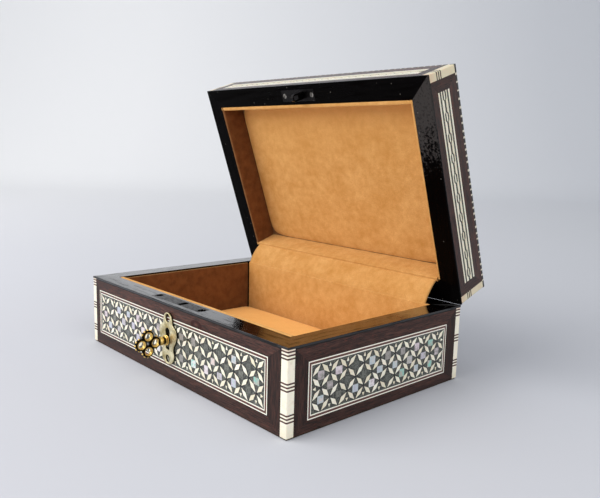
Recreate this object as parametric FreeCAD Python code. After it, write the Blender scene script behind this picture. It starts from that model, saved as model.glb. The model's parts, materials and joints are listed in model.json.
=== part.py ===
"""Walnut jewellery box with bone and mother-of-pearl inlay, a velvet lining and a keyed lock.

The origin is the centre of the underside, X runs to the right, Y to the back and Z up.
Lid pieces are drawn closed and then swung open about the hinge axis.
"""
import FreeCAD, Part
import math
import os

V = FreeCAD.Vector
X_AXIS = V(1, 0, 0)
Y_AXIS = V(0, 1, 0)
Z_AXIS = V(0, 0, 1)

# Overall size, in millimetres and degrees
width = 160.0
depth = 108.0
base_height = 36.0
lid_height = 20.0
rim_gap = 0.3
open_angle = 71.0

# Carcase
wall = 10.0
rim_lip = 0.9
felt_thickness = 0.8
felt_inset = 0.6
floor_thickness = 4.2
lid_board_thickness = 5.5

# Skin of veneer, bone and mosaic laid into the carcase
skin = 1.2
tile = 0.4
corner_width = 3.6
stile_least = 4.6
rail_top = 5.4
side_rail_top = 6.5
rail_least = 4.0
front_offset = -1.8

# Stringing
bone_line = 0.55
wood_line = 0.7

# Mosaic, sized on the base; the lid top has the same motif on a larger step
cell = 9.8
lid_cell = 19.6
lid_margin = 17.0
petal_length = 5.7
petal_width = 2.1
pearl_side = 2.9
drop_width = 1.4
drop_height = 1.6
drop_margin = 0.5
chip_share = 0.1

# Bands across the bone corner posts
band = 0.68
band_count = 3
band_drop = 2.2
band_rise = 7.6
lid_band_rise = 7.3

# Chain strip on the sides of the lid, and the edging of its top
chain_drop = 5.2
chain_width = 8.0
chain_margin = 8.9
chain_line = 0.95
chain_bar = 1.15
chain_bar_gap = 1.15
chain_pitch = 9.1
chain_link = 4.4
chain_slant = 1.2
edging = 1.2

# Velvet lining
lining = 2.0
pad_gap = 0.3
floor_pad_edge = 2.8
floor_pad_crown = 1.2
lid_pad_edge = 0.9
lid_pad_crown = 0.7
pad_draw_in = 0.5
pad_end_crown = 0.2
pad_spans = 2
gusset_thickness = 0.8
gusset_seam = 1.6
gusset_bulge = 2.8
gusset_gap = 0.1
gusset_end_gap = 0.5

# Hinges
hinge_inset = 35.0
hinge_length = 20.0
hinge_setback = 0.05
knuckle_radius = 1.5
knuckle_share = 6.6
knuckle_gap = 0.15
groove_clearance = 0.25
leaf_thickness = 0.8
leaf_depth = 7.0
pin_radius = 0.7
pin_clearance = 0.05

# Screws
screw_head = 1.3
screw_shank = 0.5
screw_length = 5.0
screw_clearance = 0.05
screw_sides = 8
turned_sides = 12
hinge_screw_spread = 6.0
hinge_screw_inset = 3.6
plate_screw_inset = 1.9

# Lock
key_height = 19.5
lock_setback = 2.2
case_screw_gap = 0.3
case_foot = 2.4
case_sheet = 0.8
case_room = 5.0
mortise_clearance = 0.2
top_plate_length = 40.0
hub_radius = 4.6
hub_fit = 0.15
hub_flange = 1.0
hub_flange_thickness = 1.4
drive_radius = 3.0
drive_pin = 0.8
drive_length = 1.7
drive_fit = 0.25
bolt_thickness = 1.4
bolt_gap = 0.2
bolt_width = 12.0
bolt_tongue = 2.0
bolt_tongue_drop = 3.4
bolt_end = 1.2
bolt_shoulder_gap = 0.6
staple_offset = 3.0
staple_thickness = 1.8
staple_width = 3.6
staple_length = 7.0
staple_clearance = 0.6
eye_fit = 0.4
strike_length = 24.0
strike_width = 6.0
strike_thickness = 1.0

# Escutcheon and keyhole
escutcheon_thickness = 1.2
plate_half_width = 7.1
plate_belly_rise = 3.2
plate_shoulder = 1.2
plate_shoulder_rise = 6.8
plate_notch = 0.25
plate_shoulder_share = 0.9
plate_waist_share = 0.87
plate_ring_radius = 3.3
plate_ring_rise = 9.2
plate_ring_hole = 2.0
plate_waist = 4.5
plate_waist_drop = 3.0
plate_foot = 4.8
plate_foot_drop = 7.4
plate_foot_round = 3.8
plate_foot_hole = 1.9
plate_foot_hole_drop = 8.3
keyhole_radius = 2.3
keyhole_slot = 2.4
keyhole_drop = 5.0
keyhole_rise = 4.0
keyhole_crown = 1.7

# Key
shank_radius = 1.3
shank_fit = 0.2
collar_radius = 2.3
collar_root = 1.0
collar_valley = 1.6
collar_length = 1.1
collar_count = 2
bow_reach = 9.9
bow_lobe_offset = 2.9
bow_lobe_radius = 2.8
bow_hole_radius = 1.8
bow_centre_hole = 1.5
bow_thickness = 2.0
bow_sides = 24
bit_thickness = 1.2
bit_drop = 3.8
bit_length = 1.6

# Places that follow from the sizes above
stringing = 2 * bone_line + wood_line
floor_top = felt_thickness + floor_thickness
skin_top = base_height - rim_lip
lid_low = base_height + rim_gap
lid_skin_top = lid_height - skin
lid_board_low = lid_skin_top - lid_board_thickness
hinge_y = depth / 2 + hinge_setback
hinge_z = base_height + rim_gap / 2
hinge_centres = (-width / 2 + hinge_inset, width / 2 - hinge_inset)
groove_radius = (knuckle_radius + groove_clearance) / math.cos(math.pi / turned_sides)
face_y = -depth / 2
case_front = face_y + lock_setback
case_back = case_front + 2 * case_sheet + case_room
plate_low = base_height - case_sheet
case_low = key_height - hub_radius - hub_flange - case_foot
case_half = top_plate_length / 2 - plate_screw_inset - screw_head - case_screw_gap
hub_back = case_front + case_sheet + hub_fit + hub_flange_thickness
bolt_front = hub_back + bolt_gap
bolt_middle = bolt_front + bolt_thickness / 2
staple_x = front_offset + staple_offset
staple_left = staple_x - staple_thickness / 2
bolt_travel = drive_radius * math.sqrt(2)

# Turn, length and distance from the centre of each side
SIDES = {
    "front": (0, width, depth / 2),
    "right": (90, depth, width / 2),
    "back": (180, width, depth / 2),
    "left": (270, depth, width / 2),
}

nodes = {}


def add(name, *solids):
    """Put solids into a named node."""
    nodes.setdefault(name, []).extend(solids)


def block(x0, x1, y0, y1, z0, z1):
    """Box between two corners."""
    return Part.makeBox(x1 - x0, y1 - y0, z1 - z0, V(x0, y0, z0))


def slab(points, vector):
    """Straight-sided outline carried along a vector."""
    return Part.Face(Part.makePolygon(points + points[:1])).extrude(vector)


def plate(points, near, far):
    """Outline drawn on a face in (along, up), running between two depths below that face."""
    return slab([V(u, near, v) for u, v in points], V(0, far - near, 0))


def on_side(shape, side, lift=0.0):
    """Carry a shape drawn on a face at y = 0, with its depth along +y, to one side of the box."""
    turn, length, reach = SIDES[side]
    placed = shape.copy()
    placed.translate(V(0, -reach, lift))
    placed.rotate(V(), Z_AXIS, turn)
    return placed


def on_top(shape):
    """Carry a shape drawn on a face at y = 0 to the top of the closed lid."""
    placed = shape.copy()
    placed.rotate(V(), X_AXIS, -90)
    placed.translate(V(0, 0, lid_low + lid_height))
    return placed


def grown(rect, by):
    """Rectangle (left, right, low, high) grown on all sides."""
    left, right, low, high = rect
    return (left - by, right + by, low - by, high + by)


def corners(rect):
    """Corner points of a rectangle, going round."""
    left, right, low, high = rect
    return [(left, low), (right, low), (right, high), (left, high)]


def mitred_frame(outer, inner, near, far):
    """Four strips that meet on mitres between an outer and an inner rectangle."""
    out = corners(outer)
    inn = corners(inner)
    strips = []
    for k in range(4):
        n = (k + 1) % 4
        strips.append(plate([out[k], out[n], inn[n], inn[k]], near, far))
    return strips


def drilled(solids, tool):
    """Solids with a tool taken out of those that it reaches, without the chips that it breaks off."""
    result = []
    for solid in solids:
        if solid.BoundBox.intersect(tool.BoundBox):
            least = chip_share * solid.Volume
            result.extend(piece for piece in solid.cut(tool).Solids if piece.Volume > least)
        else:
            result.append(solid)
    return result


def steps_that_fit(room, step):
    """Whole number of steps in a length."""
    return int(math.floor(room / step + 1e-6))


# Inlay


def petal(u, v, rising, scale):
    """Bone rhombus along one edge of the diagonal lattice."""
    run = scale * petal_length / 2 * math.sqrt(0.5)
    side = scale * petal_width / 2 * math.sqrt(0.5)
    tilt = 1 if rising else -1
    points = [(u - run, v - tilt * run), (u + side, v - tilt * side)]
    points += [(u + run, v + tilt * run), (u - side, v + tilt * side)]
    return plate(points, 0, tile)


def pearl(u, v, scale):
    """Square mother-of-pearl tile in the middle of a cell."""
    half = scale * pearl_side / 2
    return plate(corners((u - half, u + half, v - half, v + half)), 0, tile)


def drop(u, v, inward_u, inward_v, scale):
    """Small bone triangle in a half cell, pointing at the edge of the field."""
    tip = scale * drop_margin
    foot = scale * (drop_margin + drop_height)
    half = scale * drop_width / 2
    points = [(u + inward_u * tip, v + inward_v * tip)]
    for sign in (1, -1):
        across_u = -inward_v * half * sign
        across_v = inward_u * half * sign
        points.append((u + inward_u * foot + across_u, v + inward_v * foot + across_v))
    return plate(points, 0, tile)


def mosaic(field, step, phase):
    """Tiles of a field: a petal in each square step, a pearl in each whole cell, a drop in each half."""
    left, right, low, high = field
    across = round((right - left) / step)
    up = round((high - low) / step)
    scale = 2 * step / cell
    tiles = {"petals": [], "pearls": [], "drops": []}
    for i in range(across):
        for j in range(up):
            rising = (i + j) % 2 != phase
            tiles["petals"].append(petal(left + (i + 0.5) * step, low + (j + 0.5) * step, rising, scale))
    for i in range(across + 1):
        for j in range(up + 1):
            if (i + j) % 2 != phase:
                continue
            u = left + i * step
            v = low + j * step
            inward_u = (i == 0) - (i == across)
            inward_v = (j == 0) - (j == up)
            if inward_u == 0 and inward_v == 0:
                tiles["pearls"].append(pearl(u, v, scale))
            elif inward_u == 0 or inward_v == 0:
                tiles["drops"].append(drop(u, v, inward_u, inward_v, scale))
    return tiles


def inlaid_panel(surround, field, step, phase):
    """Veneer frame, stringing and mosaic that fill one face, as lists of solids by kind."""
    inner_line = grown(field, bone_line)
    middle_line = grown(field, bone_line + wood_line)
    outer_line = grown(field, stringing)
    panel = mosaic(field, step, phase)
    panel["veneer"] = mitred_frame(surround, outer_line, 0, skin)
    panel["bone_lines"] = mitred_frame(outer_line, middle_line, 0, skin)
    panel["bone_lines"] += mitred_frame(inner_line, field, 0, skin)
    panel["wood_lines"] = mitred_frame(middle_line, inner_line, 0, skin)
    panel["ground"] = [plate(corners(field), tile, skin)]
    return panel


def keyhole(near, far):
    """Keyhole through the front: a round hole with a slot below it and a smaller round hole above."""
    hole = Part.makeCylinder(keyhole_radius, far - near, V(front_offset, near, key_height), Y_AXIS)
    half = keyhole_slot / 2
    slot = block(front_offset - half, front_offset + half, near, far, key_height - keyhole_drop,
                 key_height + keyhole_rise)
    crown_centre = V(front_offset, near, key_height + keyhole_rise)
    crown = Part.makeCylinder(keyhole_crown, far - near, crown_centre, Y_AXIS)
    return hole.fuse([slot, crown]).removeSplitter()


def make_base_faces():
    """Veneer, stringing and mosaic on the four sides of the base."""
    step = cell / 2
    hole = keyhole(face_y, face_y + skin)
    for side, (turn, length, reach) in SIDES.items():
        rail = side_rail_top if side in ("left", "right") else rail_top
        high = skin_top - rail - stringing
        up = steps_that_fit(high - felt_thickness - rail_least - stringing, step)
        across = steps_that_fit(length - 2 * (corner_width + stile_least + stringing), step)
        middle = front_offset if side == "front" else 0.0
        field = (middle - across * step / 2, middle + across * step / 2, high - up * step, high)
        room = length / 2 - corner_width
        surround = (-room, room, felt_thickness, skin_top)
        phase = 1 if side in ("front", "back") else 0
        panel = inlaid_panel(surround, field, step, phase)
        placed = {kind: [on_side(piece, side) for piece in pieces] for kind, pieces in panel.items()}
        if side == "front":
            for kind in ("ground", "petals", "pearls", "drops"):
                placed[kind] = drilled(placed[kind], hole)
        if side == "back":
            placed["veneer"] = drilled(placed["veneer"], hinge_grooves())
        add("veneer_" + side, *placed["veneer"])
        add("bone_stringing", *placed["bone_lines"])
        add("wood_stringing", *placed["wood_lines"])
        add("mosaic_ground", *placed["ground"])
        add("bone_petals", *placed["petals"])
        add("bone_drops", *placed["drops"])
        add("pearl_tiles", *placed["pearls"])


def corner_piece(sign_x, sign_y, low, high):
    """Length of corner post with an L section, let into both faces of one corner."""
    section = [(0, 0), (corner_width, 0), (corner_width, skin), (skin, skin), (skin, corner_width)]
    section.append((0, corner_width))
    points = [V(sign_x * (width / 2 - a), sign_y * (depth / 2 - b), low) for a, b in section]
    return slab(points, V(0, 0, high - low))


def corner_posts(low, high, band_heights):
    """Bone and dark lengths of the four corner posts, with a group of dark bands at each height."""
    edges = [low]
    for height in band_heights:
        lines = 2 * band_count
        first = height - (lines - 1) * band / 2
        edges += [first + k * band for k in range(lines)]
    edges.append(high)
    posts = {"bone": [], "bands": []}
    for sign_x in (-1, 1):
        for sign_y in (-1, 1):
            for k in range(len(edges) - 1):
                kind = "bands" if k % 2 else "bone"
                posts[kind].append(corner_piece(sign_x, sign_y, edges[k], edges[k + 1]))
    return posts


def make_base_corners():
    """Corner posts of the base, with three groups of bands."""
    lowest = felt_thickness + band_rise
    highest = skin_top - band_drop
    posts = corner_posts(felt_thickness, skin_top, (lowest, (lowest + highest) / 2, highest))
    add("corner_bone", *posts["bone"])
    add("corner_bands", *posts["bands"])


# Carcase of the base


def wall_run(length, outer, low, high):
    """Length of wall with mitred ends, from a depth below the face to the inside of the wall."""
    half = length / 2
    points = [V(outer - half, outer, low), V(half - outer, outer, low)]
    points += [V(half - wall, wall, low), V(wall - half, wall, low)]
    return slab(points, V(0, 0, high - low))


def hinge_grooves():
    """Room for the hinge knuckles along the back edge."""
    grooves = []
    for centre in hinge_centres:
        start = V(centre - hinge_length / 2 - groove_clearance, hinge_y, hinge_z)
        reach = hinge_length + 2 * groove_clearance
        grooves.append(barrel(turned_sides, groove_radius, start, reach))
    return Part.makeCompound(grooves)


def leaf_pocket(centre, low, high):
    """Shallow pocket in a rim for one hinge leaf."""
    half = hinge_length / 2
    return block(centre - half, centre + half, depth / 2 - leaf_depth, hinge_y, low, high)


def ring_of_points(sides, radius, centre, first, second):
    """Corner points of a regular polygon about a centre, in the plane of two unit vectors."""
    turns = [2 * math.pi * k / sides for k in range(sides)]
    return [centre + first * (radius * math.cos(t)) + second * (radius * math.sin(t)) for t in turns]


def barrel(sides, radius, start, reach):
    """Many-sided barrel along X, used where a small round form repeats."""
    return slab(ring_of_points(sides, radius, start, Y_AXIS, Z_AXIS), V(reach, 0, 0))


def turned(sides, profile, start, axis, first, second):
    """Many-sided turned solid with flat facets, from (radius, distance along its axis) pairs."""
    rings = [ring_of_points(sides, radius, start + axis * along, first, second) for radius, along in profile]
    faces = [Part.Face(Part.makePolygon(ring + ring[:1])) for ring in (rings[0], rings[-1])]
    for near, far in zip(rings, rings[1:]):
        for k in range(sides):
            n = (k + 1) % sides
            faces.append(Part.Face(Part.makePolygon([near[k], near[n], far[n], far[k], near[k]])))
    return Part.makeSolid(Part.makeShell(faces))


def screw(x, y, z, sense, room=0.0):
    """Tapered screw with its head flush at z, driven down (-1) or up (+1), or a hole with room for it."""
    profile = [(screw_head + room, 0.0), (screw_shank + room, screw_length + room)]
    return turned(screw_sides, profile, V(x, y, z), Z_AXIS * sense, X_AXIS, Y_AXIS * sense)


def screw_hole(x, y, z, sense):
    """Hole for a screw, with a little room round it."""
    return screw(x, y, z, sense, screw_clearance)


def hinge_screw_places():
    """Screw positions of the hinge leaves, in plan."""
    y = depth / 2 - hinge_screw_inset
    return [(centre + sign * hinge_screw_spread, y) for centre in hinge_centres for sign in (-1, 1)]


def lock_screw_places():
    """Screw positions of the lock's top plate, in plan."""
    reach = top_plate_length / 2 - plate_screw_inset
    return [(front_offset + sign * reach, (case_front + case_back) / 2) for sign in (-1, 1)]


def make_base_walls():
    """Four mitred walls, with the lock mortise in the front one and hinge pockets in the back one."""
    for side, (turn, length, reach) in SIDES.items():
        body = wall_run(length, skin, felt_thickness, skin_top)
        lip = wall_run(length, 0, skin_top, base_height)
        placed = on_side(body.fuse(lip).removeSplitter(), side)
        if side == "front":
            half = case_half + mortise_clearance
            low = case_low - mortise_clearance
            mortise = block(front_offset - half, front_offset + half, case_front - mortise_clearance,
                            case_back + mortise_clearance, low, plate_low)
            seat = block(front_offset - top_plate_length / 2, front_offset + top_plate_length / 2,
                         case_front, case_back, plate_low, base_height)
            holes = [screw_hole(x, y, base_height, -1) for x, y in lock_screw_places()]
            placed = placed.cut([mortise, seat, keyhole(face_y, case_front)] + holes)
        if side == "back":
            pockets = [leaf_pocket(c, base_height - leaf_thickness, base_height) for c in hinge_centres]
            holes = [screw_hole(x, y, base_height, -1) for x, y in hinge_screw_places()]
            placed = placed.cut([hinge_grooves()] + pockets + holes)
        add("wall_" + side, placed)


def make_floor():
    """Floor board between the walls, and the sheet of felt under the box."""
    half_x = width / 2 - wall
    half_y = depth / 2 - wall
    add("floor_board", block(-half_x, half_x, -half_y, half_y, felt_thickness, floor_top))
    felt_x = width / 2 - felt_inset
    felt_y = depth / 2 - felt_inset
    add("underside_felt", block(-felt_x, felt_x, -felt_y, felt_y, 0, felt_thickness))


# Velvet


def lining_board(side, low, high):
    """Velvet-covered board against the inside of one wall; the side boards fit between the other two."""
    turn, length, reach = SIDES[side]
    half = length / 2 - wall
    if side in ("left", "right"):
        half -= lining
    return on_side(block(-half, half, wall, wall + lining, low, high), side)


def crowned_pad(edge, crown):
    """Pad that fills the inside, lofted from end to end, with a crown and drawn-in sides."""
    half_x = width / 2 - wall - lining - pad_gap
    half_y = depth / 2 - wall - lining - pad_gap
    sections = []
    for k in range(-pad_spans, pad_spans + 1):
        swell = 1 - (k / pad_spans) ** 2
        x = half_x * k / pad_spans
        y = half_y - pad_draw_in * swell
        foot = [V(x, y, edge), V(x, y, 0), V(x, -y, 0), V(x, -y, edge)]
        arc = Part.Arc(foot[3], V(x, 0, edge + pad_end_crown + crown * swell), foot[0]).toShape()
        lines = [Part.LineSegment(foot[n], foot[n + 1]).toShape() for n in range(3)]
        sections.append(Part.Wire(lines + [arc]))
    return Part.makeLoft(sections, True, False)


def make_base_lining():
    """Lining boards and floor pad of the base."""
    for side in SIDES:
        add("lining_" + side, lining_board(side, floor_top, base_height))
    pad = crowned_pad(floor_pad_edge, floor_pad_crown)
    pad.translate(V(0, 0, floor_top))
    add("floor_pad", pad)


def swung(point):
    """Place of a point of the closed lid, in the YZ plane, once the lid is open."""
    angle = math.radians(open_angle)
    y = point.y - hinge_y
    z = point.z - hinge_z
    turned_y = y * math.cos(angle) + z * math.sin(angle)
    turned_z = z * math.cos(angle) - y * math.sin(angle)
    return V(point.x, hinge_y + turned_y, hinge_z + turned_z)


def make_gusset():
    """Strip of velvet from the back lining of the base to that of the open lid, bulging to the front."""
    half = width / 2 - wall - lining - gusset_end_gap
    face = depth / 2 - wall - lining - gusset_thickness - gusset_gap
    low = V(-half, face, base_height - gusset_seam)
    high = swung(V(-half, face, lid_low + gusset_seam))
    chord = high - low
    outward = V(0, -chord.z, chord.y).normalize()
    middle = (low + high) * 0.5 + outward * gusset_bulge
    back = outward * -gusset_thickness
    front_edge = Part.Arc(low, middle, high).toShape()
    back_edge = Part.Arc(high + back, middle + back, low + back).toShape()
    ends = [Part.LineSegment(high, high + back).toShape(), Part.LineSegment(low + back, low).toShape()]
    outline = Part.Wire([front_edge, ends[0], back_edge, ends[1]])
    add("velvet_gusset", Part.Face(outline).extrude(V(2 * half, 0, 0)))


# Lock


def make_lock_case():
    """Sheet-metal case in the mortise, open at the top, and the plate over it in the rim."""
    left = front_offset - case_half
    right = front_offset + case_half
    shell = block(left, right, case_front, case_back, case_low, plate_low)
    room = block(left + case_sheet, right - case_sheet, case_front + case_sheet, case_back - case_sheet,
                 case_low + case_sheet, plate_low)
    hub_centre = V(front_offset, case_front, key_height)
    hub_hole = Part.makeCylinder(hub_radius + hub_fit, case_sheet, hub_centre, Y_AXIS)
    add("lock_case", shell.cut([room, hub_hole]))
    top = block(front_offset - top_plate_length / 2, front_offset + top_plate_length / 2,
                case_front, case_back, plate_low, base_height)
    half_x = staple_thickness / 2 + staple_clearance
    half_y = staple_width / 2 + staple_clearance
    slot = block(staple_x - half_x, staple_x + half_x, bolt_middle - half_y, bolt_middle + half_y,
                 plate_low, base_height)
    holes = [screw_hole(x, y, base_height, -1) for x, y in lock_screw_places()]
    add("lock_top_plate", top.cut([slot] + holes))
    add("lock_screws", *[screw(x, y, base_height, -1) for x, y in lock_screw_places()])


def make_lock_hub():
    """Hub that the key turns: a barrel in the case, a flange behind it and a drive pin for the bolt."""
    axis = V(front_offset, case_front, key_height)
    drum = Part.makeCylinder(hub_radius, hub_back - case_front, axis, Y_AXIS)
    flange_start = axis + V(0, case_sheet + hub_fit, 0)
    flange_radius = hub_radius + hub_flange
    flange_profile = [(flange_radius, 0.0), (flange_radius, hub_flange_thickness)]
    flange = turned(turned_sides, flange_profile, flange_start, Y_AXIS, Z_AXIS, X_AXIS)
    offset = bolt_travel / 2
    pin_start = V(front_offset - offset, hub_back, key_height + offset)
    pin_profile = [(drive_pin, 0.0), (drive_pin, drive_length)]
    pin = turned(turned_sides, pin_profile, pin_start, Y_AXIS, Z_AXIS, X_AXIS)
    reach = hub_back - case_front
    bore = Part.makeCylinder(shank_radius + shank_fit, reach, axis, Y_AXIS)
    half = bit_thickness / 2 + shank_fit
    way = block(front_offset - half, front_offset + half, case_front, hub_back,
                key_height - bit_drop - shank_fit, key_height)
    add("lock_hub", drum.fuse([flange, pin]).cut([bore, way]).removeSplitter())


def make_lock_bolt():
    """Bolt plate driven by the hub's pin, with a tongue for the staple and a rib against the case."""
    pin_x = front_offset - bolt_travel / 2
    left = pin_x - bolt_width / 2
    end = staple_left - bolt_end
    shoulder = staple_left - bolt_travel - bolt_shoulder_gap
    low = key_height + bolt_travel / 2 - drive_pin - drive_fit
    high = plate_low - bolt_gap
    far = bolt_front + bolt_thickness
    tongue_high = base_height - bolt_tongue_drop
    waist = lid_low - staple_length - staple_clearance
    body = block(left, end, bolt_front, far, low, waist)
    neck = block(left, shoulder, bolt_front, far, waist, high)
    tongue = block(left, end, bolt_front, far, tongue_high - bolt_tongue, tongue_high)
    rib = block(left, left + bolt_thickness, far, case_back - case_sheet - bolt_gap, low, high)
    half = drive_pin + drive_fit
    slot_high = key_height + drive_radius + drive_pin + drive_fit
    slot = block(pin_x - half, pin_x + half, bolt_front, far, low, slot_high)
    add("lock_bolt", body.fuse([neck, tongue, rib]).cut(slot).removeSplitter())


def make_escutcheon():
    """Brass plate round the keyhole: a ring on top, broad shoulders, a waist and a foot with another hole."""
    slant = math.sqrt(0.5)
    ring = plate_ring_radius
    half_outline = [
        (0.0, plate_ring_rise + ring),
        (ring * slant, plate_ring_rise + ring * slant),
        (ring, plate_ring_rise),
        (ring + plate_notch, plate_ring_rise - ring / 2),
        (ring + plate_shoulder, plate_shoulder_rise),
        (plate_half_width * plate_shoulder_share, (plate_shoulder_rise + plate_belly_rise) / 2 + plate_notch),
        (plate_half_width, plate_belly_rise),
        (plate_half_width * plate_waist_share, (plate_belly_rise - plate_waist_drop) / 2 - plate_notch),
        (plate_waist, -plate_waist_drop),
        (plate_waist - plate_notch, -(plate_waist_drop + plate_foot_drop) / 2),
        (plate_foot, -plate_foot_drop),
        (plate_foot * slant, -plate_foot_drop - plate_foot_round * slant),
        (0.0, -plate_foot_drop - plate_foot_round),
    ]
    front = face_y - escutcheon_thickness
    edges = []
    for side in (1, -1):
        points = [V(front_offset + side * u, front, key_height + v) for u, v in half_outline]
        for k in range(0, len(points) - 2, 2):
            edges.append(Part.Arc(points[k], points[k + 1], points[k + 2]).toShape())
    outline = Part.Wire(Part.sortEdges(edges)[0])
    body = Part.Face(outline).extrude(V(0, escutcheon_thickness, 0))
    holes = [keyhole(front, face_y)]
    for radius, rise in ((plate_ring_hole, plate_ring_rise), (plate_foot_hole, -plate_foot_hole_drop)):
        centre = V(front_offset, front, key_height + rise)
        holes.append(Part.makeCylinder(radius, escutcheon_thickness, centre, Y_AXIS))
    add("escutcheon", body.cut(holes))


def make_key():
    """Key with a turned shank, ring collars, a bit and a bow of four rings, in the hub with its bit down."""
    tip = hub_back - shank_fit
    plate_face = face_y - escutcheon_thickness
    bow = plate_face - bow_reach
    neck = bow + bow_lobe_offset + (bow_hole_radius + bow_lobe_radius) / 2
    axis = V(front_offset, 0, key_height)
    shank = Part.makeCylinder(shank_radius, tip - neck, axis + V(0, neck, 0), Y_AXIS)
    profile = [(collar_root, 0.0)]
    for k in range(collar_count):
        profile += [(collar_radius, (k + 0.5) * collar_length), (collar_valley, (k + 1) * collar_length)]
    profile[-1] = (collar_root, collar_count * collar_length)
    collar_start = axis + V(0, plate_face - shank_fit, 0)
    collars = turned(turned_sides, profile, collar_start, Y_AXIS * -1, Z_AXIS, X_AXIS)
    start = V(front_offset - bow_thickness / 2, bow, key_height)
    lobes = []
    holes = [barrel(bow_sides, bow_centre_hole, start, bow_thickness)]
    for along, up in ((1, 0), (-1, 0), (0, 1), (0, -1)):
        centre = start + V(0, along * bow_lobe_offset, up * bow_lobe_offset)
        lobes.append(barrel(bow_sides, bow_lobe_radius, centre, bow_thickness))
        holes.append(barrel(bow_sides, bow_hole_radius, centre, bow_thickness))
    ring = lobes[0].fuse(lobes[1:]).cut(holes)
    half = bit_thickness / 2
    bit = block(front_offset - half, front_offset + half, tip - bit_length, tip,
                key_height - bit_drop, key_height)
    add("key", ring.fuse([shank, collars, bit]).removeSplitter())


# Hinges


def knuckle(centre, start, end, radius):
    """Barrel about the hinge axis between two places along one hinge."""
    return barrel(turned_sides, radius, V(centre + start, hinge_y, hinge_z), end - start)


def hinge_leaf(centre, low, high, own, other, screw_z, sense):
    """Leaf let into a rim, with its own knuckles, cleared for the other leaf's and bored for the pin."""
    half = hinge_length / 2
    leaf = leaf_pocket(centre, low, high)
    room = [knuckle(centre, a - knuckle_gap, b + knuckle_gap, groove_radius) for a, b in other]
    leaf = leaf.cut(room).fuse([knuckle(centre, a, b, knuckle_radius) for a, b in own])
    bore_radius = (pin_radius + pin_clearance) / math.cos(math.pi / turned_sides)
    bore = knuckle(centre, -half, half, bore_radius)
    holes = [screw_hole(x, y, screw_z, sense) for x, y in hinge_screw_places()]
    return leaf.cut([bore] + holes).removeSplitter()


def make_hinges():
    """Two butt hinges: the base leaf has the outer knuckles, the lid leaf the middle one."""
    half = hinge_length / 2
    inner = knuckle_share / 2
    outer_spans = [(-half, -inner - knuckle_gap), (inner + knuckle_gap, half)]
    middle_span = [(-inner, inner)]
    for centre in hinge_centres:
        low = base_height - leaf_thickness
        base_leaf = hinge_leaf(centre, low, base_height, outer_spans, middle_span, base_height, -1)
        add("hinge_base_leaves", base_leaf)
        high = lid_low + leaf_thickness
        add("hinge_lid_leaves", hinge_leaf(centre, lid_low, high, middle_span, outer_spans, lid_low, 1))
        add("hinge_pins", knuckle(centre, -half, half, pin_radius))
    add("hinge_base_screws", *[screw(x, y, base_height, -1) for x, y in hinge_screw_places()])


# Lid, drawn closed


def strike_screw_places():
    """Screw positions of the strike plate, in plan."""
    reach = strike_length / 2 - plate_screw_inset
    return [(front_offset + sign * reach, bolt_middle) for sign in (-1, 1)]


def make_lid_walls():
    """Four mitred walls and the board between them."""
    for side, (turn, length, reach) in SIDES.items():
        lip = wall_run(length, 0, 0, rim_lip)
        body = wall_run(length, skin, rim_lip, lid_skin_top)
        placed = on_side(body.fuse(lip).removeSplitter(), side, lid_low)
        if side == "front":
            half_x = strike_length / 2
            half_y = strike_width / 2
            seat = block(front_offset - half_x, front_offset + half_x, bolt_middle - half_y,
                         bolt_middle + half_y, lid_low, lid_low + strike_thickness)
            holes = [screw_hole(x, y, lid_low, 1) for x, y in strike_screw_places()]
            placed = placed.cut([seat] + holes)
        if side == "back":
            pockets = [leaf_pocket(c, lid_low, lid_low + leaf_thickness) for c in hinge_centres]
            holes = [screw_hole(x, y, lid_low, 1) for x, y in hinge_screw_places()]
            placed = placed.cut([hinge_grooves()] + pockets + holes)
        add("lid_wall_" + side, placed)
    half_x = width / 2 - wall
    half_y = depth / 2 - wall
    low = lid_low + lid_board_low
    add("lid_top_board", block(-half_x, half_x, -half_y, half_y, low, lid_low + lid_skin_top))


def chain_pieces(strip):
    """Bone lines, bars and slanted links of one chain strip."""
    left, right, low, high = strip
    middle = (low + high) / 2
    pieces = [plate(corners((left, right, low, low + chain_line)), 0, tile)]
    pieces.append(plate(corners((left, right, high - chain_line, high)), 0, tile))
    count = steps_that_fit(right - left, chain_pitch)
    start = (left + right - count * chain_pitch) / 2
    near = chain_bar_gap / 2
    far = near + chain_bar
    bar_half = (chain_pitch - chain_link) / 2
    link_half = chain_link / 2
    for k in range(count):
        u = start + (k + 0.5) * chain_pitch
        pieces.append(plate(corners((u - bar_half, u + bar_half, middle + near, middle + far)), 0, tile))
        pieces.append(plate(corners((u - bar_half, u + bar_half, middle - far, middle - near)), 0, tile))
    for k in range(count - 1):
        u = start + (k + 1) * chain_pitch
        inner = link_half - chain_slant
        link = [(u - link_half, middle + far), (u - inner, middle + far)]
        link += [(u + link_half, middle - far), (u + inner, middle - far)]
        pieces.append(plate(link, 0, tile))
    return pieces


def make_lid_sides():
    """Veneer, chain strip and corner posts on the sides of the lid."""
    for side, (turn, length, reach) in SIDES.items():
        room = length / 2 - corner_width
        run = length / 2 - chain_margin
        surround = (-room, room, rim_lip, lid_skin_top)
        strip = (-run, run, chain_drop, chain_drop + chain_width)
        veneer = [on_side(piece, side, lid_low) for piece in mitred_frame(surround, strip, 0, skin)]
        if side == "back":
            veneer = drilled(veneer, hinge_grooves())
        add("lid_veneer_" + side, *veneer)
        add("chain_ground", on_side(plate(corners(strip), tile, skin), side, lid_low))
        add("chain_bone", *[on_side(piece, side, lid_low) for piece in chain_pieces(strip)])
    posts = corner_posts(lid_low + rim_lip, lid_low + lid_skin_top, [lid_low + lid_band_rise])
    add("lid_corner_bone", *posts["bone"])
    add("lid_corner_bands", *posts["bands"])


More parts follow.
